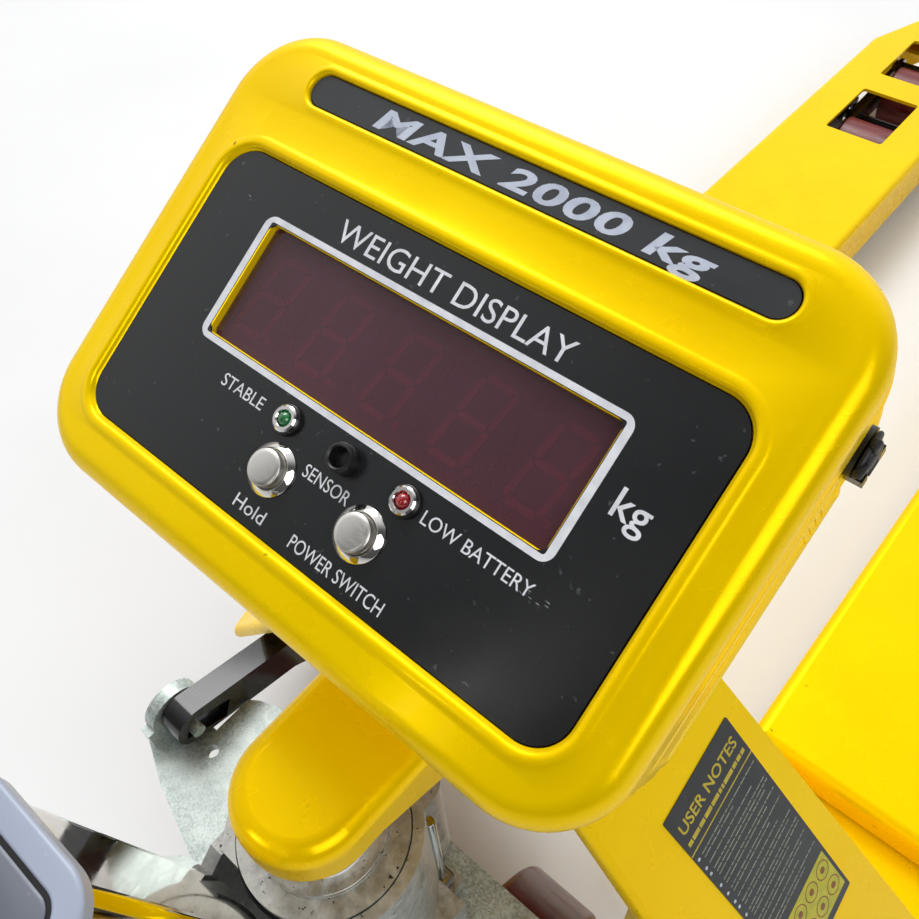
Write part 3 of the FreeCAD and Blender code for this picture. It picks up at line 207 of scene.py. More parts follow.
def zinc(name):
    """Zinc-flake sheet: small crystals that each catch the light differently."""
    g = Graph(name)
    crystals = g.cells(900.0)["Color"]
    shade = g.add("ShaderNodeSeparateColor", {"Color": crystals}).outputs[0]
    broad = g.span(g.noise(60.0, 5.0, 0.7), 0.3, 0.7)
    flakes = g.math("MULTIPLY", g.math("ADD", shade, broad), 0.5)
    g.colour(g.mix(g.span(flakes, 0.2, 0.8), rgb(160, 172, 168), rgb(216, 226, 221)))
    g.rough(g.span(shade, 0.0, 1.0, 0.34, 0.6))
    g.bump(flakes, 0.10, 0.0004)
    return g.fixed(Metallic=0.55)


def casting(name):
    """Silver-painted casting: pits, soft lumps and darker grime in the hollows."""
    g = Graph(name)
    lumps = g.noise(160.0, 6.0, 0.65)
    pits = g.span(g.noise(420.0, 3.0), 0.66, 0.72)
    tone = g.mix(g.span(lumps, 0.3, 0.7), rgb(160, 160, 156), rgb(214, 215, 211))
    g.colour(g.mix(pits, tone, rgb(58, 56, 52)))
    g.rough(g.span(lumps, 0.3, 0.7, 0.3, 0.55))
    g.bump(g.math("SUBTRACT", lumps, g.math("MULTIPLY", pits, 0.6)), 0.28, 0.0008)
    return g.fixed(Metallic=0.7)


def rubber(name, main, low=0.5, high=0.75):
    """Matt rubber, a little greyer in patches."""
    g = Graph(name)
    greyer = tuple(c * 1.7 + 0.004 for c in main[:3]) + (1.0,)
    g.colour(g.mix(g.span(g.noise(90.0, 5.0), 0.3, 0.7), main, greyer))
    g.rough(g.span(g.noise(45.0, 5.0), 0.3, 0.7, low, high))
    g.bump(g.noise(700.0, 3.0), 0.12, 0.0004)
    return g.fixed()


def tread(name):
    """Dark red polyurethane, scuffed and dusty where it runs."""
    g = Graph(name)
    scuffs = g.span(g.noise(70.0, 6.0, 0.7, (0.3, 1.0, 1.0)), 0.48, 0.75)
    g.colour(g.mix(scuffs, rgb(112, 22, 20), rgb(150, 92, 84)))
    g.rough(g.span(scuffs, 0.0, 1.0, 0.34, 0.72))
    g.bump(g.noise(300.0, 4.0), 0.10, 0.0005)
    return g.fixed(Coat_Weight=0.15, Coat_Roughness=0.3)


def tinted_glass(name):
    """Smoked red filter over the digits, half see-through."""
    g = Graph(name)
    g.colour(g.mix(g.span(g.noise(18.0, 3.0), 0.3, 0.7), rgb(86, 50, 60), rgb(98, 58, 70)))
    g.rough(g.span(g.noise(200.0, 4.0), 0.3, 0.7, 0.04, 0.09))
    return g.fixed(Alpha=0.55, Specular_IOR_Level=0.6)


def lens(name, core, rim):
    """Small clear-coloured lamp lens."""
    g = Graph(name)
    g.colour(g.mix(g.span(g.noise(500.0, 2.0), 0.3, 0.7), core, rim))
    g.rough(g.span(g.noise(300.0, 2.0), 0.3, 0.7, 0.08, 0.16))
    return g.fixed(Coat_Weight=1.0, Coat_Roughness=0.03)


def ink(name, main, worn):
    """Screen print, very slightly uneven."""
    g = Graph(name)
    g.colour(g.mix(g.span(g.noise(220.0, 4.0), 0.35, 0.7), main, worn))
    g.rough(g.span(g.noise(90.0, 3.0), 0.3, 0.7, 0.38, 0.55))
    return g.fixed()


YELLOW_GLEAM = (1.0, 0.80, 0.0, 1.0)
WHITE_GLEAM = (1.0, 1.0, 1.0, 1.0)
LOOKS = {
    "yellow_paint": paint("yellow_paint", rgb(255, 216, 0), rgb(253, 208, 0), rgb(255, 222, 20),
                          YELLOW_GLEAM, 0.04),
    "zinc_sheet": zinc("zinc_sheet"),
    "cast_grey": casting("cast_grey"),
    "bright_chrome": metal("bright_chrome", rgb(226, 224, 220), 0.03, 0.09, wear=0.06, depth=0.01),
    "polished_steel": metal("polished_steel", rgb(205, 205, 205), 0.10, 0.22, (40.0, 1.0, 1.0)),
    "satin_steel": metal("satin_steel", rgb(226, 223, 216), 0.30, 0.44, (1.0, 6.0, 6.0), 0.08, 260.0),
    "bolt_steel": metal("bolt_steel", rgb(168, 168, 166), 0.28, 0.48),
    "black_steel": paint("black_steel", rgb(22, 22, 24), rgb(14, 14, 15), rgb(70, 70, 72),
                         WHITE_GLEAM, 0.8),
    "cell_alloy": metal("cell_alloy", rgb(206, 208, 210), 0.3, 0.46, (1.0, 30.0, 1.0)),
    "grey_plastic": plastic("grey_plastic", rgb(112, 115, 118), rgb(170, 170, 170)),
    "black_plastic": plastic("black_plastic", rgb(19, 19, 20), rgb(90, 90, 90), 0.26, 0.44),
    "black_grip": plastic("black_grip", rgb(26, 26, 27), rgb(80, 80, 80), 0.5, 0.7, 500.0, 0.3),
    "black_rubber": rubber("black_rubber", rgb(20, 20, 23)),
    "red_tread": tread("red_tread"),
    "panel_film": plastic("panel_film", rgb(24, 25, 26), rgb(90, 92, 94), 0.20, 0.28, 1400.0, 0.03),
    "label_film": plastic("label_film", rgb(38, 40, 42), rgb(96, 98, 98), 0.34, 0.46, 1400.0, 0.03),
    "smoked_red": tinted_glass("smoked_red"),
    "led_green": lens("led_green", rgb(14, 92, 44), rgb(26, 128, 66)),
    "led_red": lens("led_red", rgb(128, 12, 22), rgb(168, 24, 34)),
    "circuit_green": plastic("circuit_green", rgb(22, 92, 48), rgb(190, 180, 90), 0.25, 0.4),
    "battery_black": plastic("battery_black", rgb(38, 38, 41), rgb(90, 90, 90)),
}
PRINT = {
    "white": ink("print_white", rgb(226, 228, 232), rgb(205, 208, 214)),
    "pale": ink("print_pale", rgb(196, 204, 220), rgb(176, 184, 202)),
    "yellow": ink("print_yellow", rgb(200, 180, 40), rgb(176, 158, 40)),
    "dim": ink("print_dim", rgb(150, 156, 140), rgb(120, 126, 112)),
    "segment": ink("print_segment", rgb(190, 44, 58), rgb(168, 36, 50)),
    "scratch": ink("print_scratch", rgb(176, 180, 182), rgb(140, 144, 146)),
    "rim": plastic("rim_grey", rgb(150, 158, 176), rgb(190, 196, 206), 0.28, 0.4),
    "plate": plastic("plate_grey", rgb(104, 108, 118), rgb(150, 150, 156), 0.3, 0.42),
    # near-black sheet for painted shade: the boot's shadow line and the cap's shaded notch and groove
    "dark": plastic("painted_shade_sheet", rgb(14, 14, 16), rgb(40, 40, 40), 0.5, 0.7),
    "navy": rubber("navy_seal", rgb(16, 20, 34), 0.25, 0.4),
    "lime": ink("print_lime", rgb(196, 186, 40), rgb(170, 170, 44)),
    "rust": ink("print_rust", rgb(140, 84, 30), rgb(120, 70, 28)),
}

for part in frame["record"]["subparts"]:
    node = NODES[part["node"]]
    node.data.materials.clear()
    node.data.materials.append(LOOKS[part["material_slot"]])


# ---------------------------------------------------------------- mesh helpers
def piece(name, points, faces, matrix, body, slot, look=None, sharp=35.0):
    """Piece from points and faces drawn in a frame, in its slot's own look unless one is given."""
    mesh = bpy.data.meshes.new(name)
    mesh.from_pydata([tuple(p) for p in points], [], faces)
    mesh.transform(matrix)
    return finish_piece(name, mesh, body, slot, look, sharp)


def finish_piece(name, mesh, body, slot, look=None, sharp=35.0):
    bm = bmesh.new()
    bm.from_mesh(mesh)
    bmesh.ops.remove_doubles(bm, verts=bm.verts, dist=1e-6)
    bmesh.ops.dissolve_degenerate(bm, dist=1e-7, edges=bm.edges)
    bmesh.ops.recalc_face_normals(bm, faces=bm.faces)
    bm.to_mesh(mesh)
    bm.free()
    mesh.shade_smooth()
    mesh.set_sharp_from_angle(angle=math.radians(sharp))
    mesh.materials.clear()
    mesh.materials.append(look or LOOKS[slot])
    obj = bpy.data.objects.new(name, mesh)
    bpy.context.scene.collection.objects.link(obj)
    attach(obj, body)
    return obj


def ring(width, height, radius, mid=(0.0, 0.0), steps=12):
    """Rounded rectangle as (x, y, outward x, outward y), anticlockwise."""
    out = []
    x, y = width / 2 - radius, height / 2 - radius
    for cx, cy, start in ((x, y, 0), (-x, y, 90), (-x, -y, 180), (x, -y, 270)):
        for k in range(steps + 1):
            angle = math.radians(start + 90.0 * k / steps)
            nx, ny = math.cos(angle), math.sin(angle)
            out.append((mid[0] + cx + radius * nx, mid[1] + cy + radius * ny, nx, ny))
    return out


def sweep(loop, profile):
    """Skin made by carrying (outward, up) steps round a closed loop."""
    count = len(loop)
    points = [(x + nx * out, y + ny * out, up) for out, up in profile for x, y, nx, ny in loop]
    faces = []
    for row in range(len(profile) - 1):
        for k in range(count):
            a, b = row * count + k, row * count + (k + 1) % count
            faces.append((a, b, b + count, a + count))
    return points, faces


def arc(centre, radius, start, end, steps=6):
    """Profile points on an arc, by angle in degrees."""
    return [(centre[0] + radius * math.cos(math.radians(start + (end - start) * k / steps)),
             centre[1] + radius * math.sin(math.radians(start + (end - start) * k / steps)))
            for k in range(steps + 1)]


def merge(*parts):
    """Join several (points, faces) into one."""
    points, faces = [], []
    for more, links in parts:
        base = len(points)
        points += list(more)
        faces += [tuple(base + k for k in face) for face in links]
    return points, faces


def filled(outer, holes, height):
    """Flat region between one outline and its holes."""
    curve = bpy.data.curves.new("region", "CURVE")
    curve.dimensions = "2D"
    curve.fill_mode = "BOTH"
    for loop in [outer] + holes:
        spline = curve.splines.new("POLY")
        spline.points.add(len(loop) - 1)
        for point, (x, y, *_) in zip(spline.points, loop):
            point.co = (x, y, 0, 1)
        spline.use_cyclic_u = True
    obj = bpy.data.objects.new("region", curve)
    mesh = bpy.data.meshes.new_from_object(obj)
    points = [(v.co.x, v.co.y, height) for v in mesh.vertices]
    faces = [tuple(p.vertices) for p in mesh.polygons]
    bpy.data.objects.remove(obj)
    bpy.data.curves.remove(curve)
    bpy.data.meshes.remove(mesh)
    return points, faces


def offset(loop, out):
    return [(x + nx * out, y + ny * out, nx, ny) for x, y, nx, ny in loop]


def lathe(profile, at=(0.0, 0.0), steps=48):
    """Turned shape about n through (u, v): profile is (radius, height)."""
    points, faces = [], []
    for radius, height in profile:
        for k in range(steps):
            angle = math.tau * k / steps
            points.append((at[0] + radius * math.cos(angle), at[1] + radius * math.sin(angle), height))
    for row in range(len(profile) - 1):
        for k in range(steps):
            a, b = row * steps + k, row * steps + (k + 1) % steps
            faces.append((a, b, b + steps, a + steps))
    return points, faces


def block(x0, x1, y0, y1, z0, z1, soft=1.0, steps=3):
    """Box with rounded edges all round."""
    bm = bmesh.new()
    bmesh.ops.create_cube(bm, size=1.0)
    for v in bm.verts:
        v.co = Vector((x0 + (v.co.x + 0.5) * (x1 - x0), y0 + (v.co.y + 0.5) * (y1 - y0),
                       z0 + (v.co.z + 0.5) * (z1 - z0)))
    bmesh.ops.bevel(bm, geom=bm.edges[:], offset=soft, segments=steps, profile=0.5, affect="EDGES")
    bm.verts.index_update()
    points = [tuple(v.co) for v in bm.verts]
    faces = [tuple(v.index for v in f.verts) for f in bm.faces]
    bm.free()
    return points, faces


def moved(shape, matrix):
    points, faces = shape
    return [tuple(matrix @ Vector(p)) for p in points], faces


CAP_SHARE = 0.729  # height of a capital as a share of the font size


def lettering(name, words, height, at, matrix, look, slot, wide=1.0, slant=0.0, bold=0.0, spacing=1.0):
    """Printed words: cap height, centre on the sheet, and how wide and slanted they are."""
    curve = bpy.data.curves.new(name, "FONT")
    curve.body = words
    curve.size = height / CAP_SHARE
    curve.align_x = "CENTER"
    curve.space_character = spacing
    curve.shear = slant
    curve.offset = bold
    curve.extrude = 0.02
    curve.resolution_u = 4
    obj = bpy.data.objects.new(name, curve)
    mesh = bpy.data.meshes.new_from_object(obj)
    bpy.data.objects.remove(obj)
    bpy.data.curves.remove(curve)
    middle = Matrix.Translation((0, -height / 2, 0))
    mesh.transform(Matrix.Translation(at) @ Matrix.Diagonal((wide, 1.0, 1.0, 1.0)) @ middle)
    mesh.transform(matrix)
    return finish_piece(name, mesh, CHASSIS, slot, look)


# ---------------------------------------------------------------- indicator: sizes
CASE = (247.0, 178.0)
CASE_MID = (0.0, 13.0)
CASE_R = 31.5
PANEL = (206.5, 107.0)
PANEL_R = 12.0
WINDOW = (143.5, 42.5)
WINDOW_MID = (0.0, 13.0)
STRIP = (182.0, 11.3)
STRIP_MID = (3.5, 82.0)
FACE_TOP = 2.0
PARTING = -18.0
CASE_BACK = -58.0
BUTTONS = {"hold": (-19.0, -34.0), "power": (20.0, -34.0)}
LAMPS = {"stable": (-23.5, -18.0), "battery": (27.5, -18.0)}
LAMP_SLOTS = {"stable": "led_green", "battery": "led_red"}
RECEIVER = (2.5, -18.0)
FILM = 0.8
DIGIT_LEVEL = -6.8
SOCKET_AT = (62.0, -29.0)
DOOR_V, DOOR_N = 4.0, -34.0
LABEL_TURN = 6.9
LABEL_UP = 0.3


def cover_shell():
    """Front cover: round outer edge, a soft lip round the panel and one round the slot."""
    edge_r = 9.0
    outer = ring(*CASE, CASE_R, CASE_MID, 16)
    outside = [(-0.6, PARTING + 0.1), (0.0, PARTING + 0.8), (0.0, FACE_TOP - edge_r)]
    outside += arc((-edge_r, FACE_TOP - edge_r), edge_r, 0, 90, 10)[1:]
    wall = sweep(outer, outside)
    panel = ring(PANEL[0] + 1, PANEL[1] + 1, PANEL_R + 0.5, steps=12)
    lip = [(0.0, -0.4), (0.0, 0.5), (0.5, 1.0)] + arc((2.6, 0.7), 2.1, 170, 90, 6)[1:]
    lip += [(3.6, 2.75), (4.6, 2.45), (5.6, FACE_TOP)]
    rim = sweep(panel, lip)
    slot = ring(STRIP[0] + 1, STRIP[1] + 1, STRIP[1] / 2 + 0.4, STRIP_MID, 12)
    slot_lip = [(0.0, 0.4), (0.0, 1.1)] + arc((1.5, 1.1), 1.5, 180, 90, 5)[1:]
    slot_lip += [(2.6, 2.35), (3.4, FACE_TOP)]
    slot_rim = sweep(slot, slot_lip)
    openings = [offset(panel, lip[-1][0]), offset(slot, slot_lip[-1][0])]
    flat = filled(offset(outer, -edge_r), openings, FACE_TOP)
    window = sweep(ring(*WINDOW, 2.0, WINDOW_MID, 6), [(0.0, 0.75), (-0.25, 0.5), (-0.25, -2.6)])
    return merge(wall, rim, slot_rim, flat, window)


def case_shell():
    """Rear case: side wall with a raised band at the parting, rounded back edge."""
    r = CASE_R - 1.5
    loop = ring(CASE[0] - 3, CASE[1] - 3, r, CASE_MID, 16)
    back_r = 7.0
    profile = [(-1.2, PARTING - 0.9), (0.0, PARTING - 1.6), (0.9, PARTING - 2.2), (0.9, PARTING - 5.0),
               (0.0, PARTING - 6.2), (0.0, CASE_BACK + back_r)]
    profile += arc((-back_r, CASE_BACK + back_r), back_r, 0, -90, 8)[1:]
    wall = sweep(loop, profile)
    back = filled(offset(loop, -back_r), [], CASE_BACK)
    return merge(wall, back)


def indicator_case():
    cover = piece("cover_shell", *cover_shell(), FACE, CHASSIS, "yellow_paint")
    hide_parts("front_cover")
    case = piece("case_shell", *case_shell(), FACE, CHASSIS, "yellow_paint")
    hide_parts("rear_case")


indicator_case()


def printed_panel():
    """White window frame, unit, lamp and button names on the film."""
    above = FILM + 0.03
    frame_outer = ring(149.5, 47.4, 4.2, WINDOW_MID, 8)
    frame_inner = ring(144.1, 43.1, 1.0, WINDOW_MID, 8)
    flat = filled(frame_outer, [frame_inner], above)
    piece("window_frame_print", *flat, FACE, CHASSIS, "panel_film", PRINT["white"])
    words = [("title", "WEIGHT DISPLAY", 8.2, (1.0, 43.5), 1.06, 1.0, 0.0),
             ("unit", "kg", 9.0, (86.0, 15.0), 1.05, 1.0, 0.1),
             ("stable", "STABLE", 4.6, (-45.0, -18.5), 0.98, 1.0, 0.0),
             ("infrared", "SENSOR", 4.6, (1.0, -27.5), 0.86, 1.0, 0.0),
             ("battery", "LOW BATTERY", 4.6, (54.5, -18.5), 0.95, 1.0, 0.0),
             ("hold", "Hold", 4.8, (-18.5, -48.0), 1.1, 1.0, 0.0),
             ("power", "POWER SWITCH", 4.8, (20.0, -48.0), 0.8, 1.0, 0.0)]
    for name, text, height, (u, v), wide, spacing, bold in words:
        lettering("print_" + name, text, height, (u, v, above), FACE, PRINT["white"], "panel_film",
                  wide=wide, spacing=spacing, bold=bold)
    lettering("print_capacity", "MAX 2000 kg", 7.4, (5.0, 82.0, 1.13), FACE, PRINT["pale"],
              "label_film", wide=2.05, slant=0.22, bold=0.3, spacing=1.08)


printed_panel()


def segment_digits():
    """Unlit seven-segment figures with a point at the lower right of each."""
    tall, wide, bar, gap = 15.2, 15.0, 2.5, 0.45
    slant = math.tan(math.radians(9.0))
    u_first, pitch, mid_v, level = -60.9, 29.675, 12.4, DIGIT_LEVEL
    half = bar / 2

    def across(cx, cy, length):
        a = length / 2 - gap
        return [(cx - a, cy), (cx - a + half, cy + half), (cx + a - half, cy + half), (cx + a, cy),
                (cx + a - half, cy - half), (cx - a + half, cy - half)]

    def upright(cx, cy, length):
        return [(cx + y, cy + x) for x, y in across(0.0, 0.0, length)]

    span = wide - bar
    storey = tall - half
    shapes = [across(0, 0, span), across(0, storey, span), across(0, -storey, span)]
    for side in (-1, 1):
        for floor in (-1, 1):
            shapes.append(upright(side * span / 2, floor * storey / 2, storey))
    points, faces = [], []
    for k in range(5):
        centre = u_first + k * pitch
        for shape in shapes:
            base = len(points)
            points += [(centre + x + y * slant, mid_v + y, level) for x, y in shape]
            faces.append(tuple(range(base, base + len(shape))))
        base = len(points)
        for n in range(16):
            a = math.tau * n / 16
            points.append((centre + span / 2 + 3.6 - storey * slant + 1.35 * math.cos(a),
                           mid_v - storey + 0.3 + 1.35 * math.sin(a), level))
        faces.append(tuple(range(base, base + 16)))
    piece("digit_segments", points, faces, FACE, CHASSIS, "led_red", PRINT["segment"])


segment_digits()


def buttons_and_lamps():
    """Chromed bezels with their caps, lamp collars with their lenses, and the receiver's hood."""
    bezels, rings = [], []
    for name, at in BUTTONS.items():
        flange = [(6.5, -4.0), (6.5, 2.3), (6.75, 2.65), (7.15, 2.75), (8.85, 1.55), (9.0, 1.35),
                  (9.0, FILM)]
        bezels.append(lathe(flange, at, 72))
        cap = [(0.0, 6.05), (4.6, 6.0), (5.5, 5.85), (6.1, 5.45), (6.33, 4.8), (6.35, 4.0),
               (6.35, -6.0)]
        top = piece(name + "_cap", *lathe(cap, at, 64), FACE, name + "_button", "satin_steel")
        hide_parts(name + "_button")
    bezel_rings = piece("button_bezels", *merge(*bezels), FACE, CHASSIS, "bright_chrome", sharp=25.0)
    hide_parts("button_bodies")
    for name, at in LAMPS.items():
        collar = [(2.6, -3.0), (2.6, 3.6), (3.0, 4.0), (3.9, 4.0), (4.5, 3.5), (4.7, 2.6), (4.8, 1.2),
                  (4.8, FILM)]
        rings.append(lathe(collar, at, 56))
        dome = [(0.0, 4.9), (0.8, 4.8), (1.6, 4.4), (2.2, 3.7), (2.5, 2.9), (2.55, 2.0), (2.55, -3.0)]
        lamp = piece(name + "_lens", *lathe(dome, at, 40), FACE, CHASSIS, LAMP_SLOTS[name])
        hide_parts(name + "_led")
    collars = piece("lamp_collars", *merge(*rings), FACE, CHASSIS, "bright_chrome", sharp=30.0)
    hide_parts("led_bezels")
    hood = [(0.0, 2.6), (2.4, 2.4), (3.3, 2.2), (3.4, 5.6), (3.9, 6.0), (4.6, 5.8), (5.0, 5.2),
            (5.0, FILM)]
    eye = piece("receiver_hood", *lathe(hood, RECEIVER, 48), FACE, CHASSIS, "black_plastic")
    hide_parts("ir_receiver")
    skirts = [lathe([(4.8, 2.4), (5.1, 2.2), (5.3, FILM + 0.02)], at, 40) for at in LAMPS.values()]
    piece("lamp_skirts", *merge(*skirts), FACE, CHASSIS, "black_plastic")


buttons_and_lamps()


# ---------------------------------------------------------------- charging inlet and battery pad
def side_pieces():
    """On the case's right wall: rubber cap with strap and wings, its collar, and the battery pad."""
    wall = CASE[0] / 2 - 1.5
    v, n = SOCKET_AT
    outward = Matrix.Translation((wall, v, n)) @ Matrix.Rotation(math.radians(90), 4, "Y")
    lid = [(0.0, 6.1), (3.4, 6.0), (4.6, 5.6), (5.2, 5.0), (5.3, 4.5), (7.0, 4.3), (7.5, 3.9),
           (7.5, 3.2), (7.0, 2.9), (0.0, 2.9)]
    strap = block(0.0, 13.0, -3.2, 3.2, 2.9, 5.2, 0.8)
    barrel = [(0.0, 3.0), (2.0, 3.0), (2.4, 2.6), (2.4, -2.6), (2.0, -3.0), (0.0, -3.0)]
    knuckle = moved(lathe(barrel, steps=24),
                    Matrix.Translation((13.0, 0.0, 3.4)) @ Matrix.Rotation(math.radians(90), 4, "X"))
    wings = []
    for turn in (35, -35):
        wing = block(-9.2, -4.0, -1.5, 1.5, 3.0, 5.9, 0.9)
        wings.append(moved(wing, Matrix.Rotation(math.radians(turn + 20), 4, "Z")))
    cap = merge(lathe(lid, steps=40), strap, knuckle, *wings)
    made = piece("inlet_cap", *cap, FACE @ outward, "charge_cap", "black_rubber", sharp=40.0)
    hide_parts("charge_cap")
    collar = [(3.7, -4.0), (3.7, 2.2), (4.1, 2.5), (6.8, 2.5), (7.6, 2.1), (8.0, 1.3), (8.0, 0.1)]
    piece("inlet_collar", *moved(lathe(collar), outward), FACE, CHASSIS, "black_plastic", sharp=30.0)
    half_v, half_n = 49.0, 13.0
    pad = ring(2 * half_n - 0.8, 2 * half_v - 0.8, 2.4, steps=6)
    skin = sweep(pad, [(0.0, -2.0), (0.0, 0.5), (-0.5, 1.1), (-2.0, 1.4), (-3.0, 1.4), (-3.8, 1.0),
                       (-4.4, 0.9)])
    base = filled(offset(pad, -4.4), [], 0.9)
    ribs = [block(-7.5, 7.5, y - 0.7, y + 0.7, 0.6, 1.35, 0.3, 2) for y in (30.0, 33.0, 36.0, 39.0)]
    door = moved(merge(skin, base, *ribs), Matrix.Translation((wall, DOOR_V, DOOR_N))
                 @ Matrix.Rotation(math.radians(90), 4, "Y"))
    made = piece("battery_pad", *door, FACE, CHASSIS, "yellow_paint")
    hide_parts("battery_door")


side_pieces()


def sheet_marks():
    """Small scuffs on the film."""
    rng = random.Random(7)
    points, faces = [], []
    for u, v, count, spread in ((75.0, -19.5, 16, 5.0), (71.5, -50.0, 3, 2.0), (-86.0, 38.0, 2, 2.0)):
        for _ in range(count):
            a = rng.uniform(-0.9, 0.2)
            x, y = u + rng.uniform(-spread, spread), v + rng.uniform(-0.35, 0.35) * spread
            dx, dy = math.cos(a) * rng.uniform(0.5, 2.4), math.sin(a) * rng.uniform(0.5, 2.4)
            w = rng.uniform(0.05, 0.16)
            base = len(points)
            points += [(x, y, FILM + 0.04), (x + dx / 2 + w, y + dy / 2 - w, FILM + 0.04),
                       (x + dx, y + dy, FILM + 0.04), (x + dx / 2 - w, y + dy / 2 + w, FILM + 0.04)]
            faces.append((base, base + 1, base + 2, base + 3))
    piece("film_scuffs", points, faces, FACE, CHASSIS, "panel_film", PRINT["scratch"])


sheet_marks()


# ---------------------------------------------------------------- shoulder label
def label_frame():
    """Frame on the shoulder sheet: x along its lines of print, y up the sheet."""
    low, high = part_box("shoulder_label")
    face = max(NODES["shoulder_label"].data.polygons, key=lambda p: p.area)
    normal = face.normal if face.normal.z > 0 else -face.normal
    slope = math.atan2(normal.x, normal.z)
    turn = Matrix.Rotation(slope, 4, "Y") @ Matrix.Rotation(math.radians(90.0 + LABEL_TURN), 4, "Z")
    return Matrix.Translation((low + high) / 2) @ turn @ Matrix.Scale(MM, 4)


def bars(rows):
    """Flat strips (x0, x1, y, thickness) standing for lines of small print."""
    points, faces = [], []
    for x0, x1, y, thick in rows:
        base = len(points)
        low, high = y - thick / 2, y + thick / 2
        points += [(x0, low, LABEL_UP), (x1, low, LABEL_UP), (x1, high, LABEL_UP), (x0, high, LABEL_UP)]
        faces.append((base, base + 1, base + 2, base + 3))
    return points, faces


def disc(at, outer, inner, steps=28):
    """Flat ring, or a full disc when the inner radius is 0."""
    points, faces = [], []
    for k in range(steps):
        a = math.tau * k / steps
        for radius in (inner, outer):
            points.append((at[0] + radius * math.cos(a), at[1] + radius * math.sin(a), LABEL_UP + 0.03))
    for k in range(steps):
        a, b = 2 * k, 2 * ((k + 1) % steps)
        faces.append((a, a + 1, b + 1, b))
    return points, faces


def word_run(rng, start, end, y, thick, longest=7.0):
    """Line of small print as a run of word-long strips."""
    rows, x = [], start
    while x < end:
        stop = min(end, x + rng.uniform(1.6, longest))
        rows.append((x, stop, y, thick))
        x = stop + 0.7
    return rows


def label_print():
    """Title, heading, lines of small print with their dots, and a block of plain rings."""
    place = label_frame()
    rng = random.Random(3)

    def stamp(name, shape, look):
        piece(name, *shape, place, CHASSIS, "label_film", look)

    lettering("label_title", "USER NOTES", 7.0, (0.0, 62.5, LABEL_UP), place, PRINT["yellow"],
              "label_film", wide=0.95, bold=0.15)
    heading = word_run(rng, -27.0, 27.0, 53.0, 2.6, 9.0)
    stamp("label_heading", bars(heading + [(-29.7, 29.7, 47.5, 0.8)]), PRINT["yellow"])
    rows, dots, y = [], [], 42.5
    for lines in (2, 1, 3, 2, 2, 1, 2, 3, 2, 1, 2):
        dots.append(disc((-27.5, y), 0.95, 0.0, 14))
        for line in range(lines):
            end = 27.5 if line < lines - 1 else rng.uniform(2.0, 24.0)
            if y < -36.0:
                end = min(end, -14.0)
            rows += word_run(rng, -24.5, end, y, 0.75)
            y -= 2.75
        y -= 2.0
    stamp("label_lines", bars(rows), PRINT["dim"])
    stamp("label_dots", merge(*dots), PRINT["pale"])
    stamp("label_block", bars([(-12.0, 27.5, -54.5, 31.0)]), PRINT["lime"])
    rings = []
    for column in range(3):
        for row in range(2):
            at = (-5.2 + 13.0 * column, -47.2 - 14.4 * row)
            rings += [disc(at, 5.6, 4.9), disc(at, 2.0, 0.0)]
    stamp("label_rings", merge(*rings), PRINT["rust"])


label_print()


# ---------------------------------------------------------------- tiller
def tiller_dress():
    """Moulded rim on the boot, a black sheet as painted shadow in the gap, the plate and collar round the tube,
    and two tube bands.
    """
    mid, top = (0.0, BOOT_MID), BOOT_TOP
    loop = ring(58.6, 66.6, 14.3, mid, 14)
    rim = [(0.0, top - 5.2), (0.15, top - 1.0)] + arc((-1.3, top - 0.7), 1.6, 0, 90, 5)[1:]
    rim += [(-6.4, top + 0.9)] + arc((-6.5, top - 0.1), 1.0, 90, 180, 4)[1:] + [(-7.5, top - 0.8)]
    piece("boot_rim", *sweep(loop, rim), TILLER, "tiller", "grey_plastic", PRINT["rim"])
    # black sheet seen between rim and plate: painted shadow line, not a part
    gap = filled(offset(loop, -7.1), [], top + 0.12)
    piece("boot_gap_painted_shadow", *gap, TILLER, "tiller", "black_plastic", PRINT["dark"])
    inner = offset(loop, -8.8)
    hole = ring(2 * TUBE_R + 1.0, 2 * TUBE_R + 1.0, TUBE_R + 0.5, mid, 12)
    plate = [(0.0, top + 0.1), (0.0, top + 0.5), (-0.4, top + 0.8), (-1.0, top + 0.9)]
    flat = filled(offset(inner, -1.0), [hole], top + 0.9)
    plate_skin = merge(sweep(inner, plate), flat)
    piece("boot_plate", *plate_skin, TILLER, "tiller", "grey_plastic", PRINT["plate"])
    collar = [(TUBE_R + 0.1, top + 10.0), (TUBE_R + 1.2, top + 9.6), (TUBE_R + 1.5, top + 8.0),
              (TUBE_R + 1.6, top + 3.5), (TUBE_R + 1.9, top + 2.0), (TUBE_R + 2.0, top + 0.9)]
    piece("tube_collar", *lathe(collar, mid), TILLER, "tiller", "black_rubber")
    for z, name in ((330.0, "lower"), (770.0, "upper")):
        band = [(0.0, -5), (0.8, -4.6), (1.2, 0.0), (0.8, 4.6), (0.0, 5)]
        skin = lathe([(TUBE_R + out, z + up) for out, up in band], mid)
        piece("tube_band_" + name, *skin, TILLER, "tiller", "satin_steel")


tiller_dress()


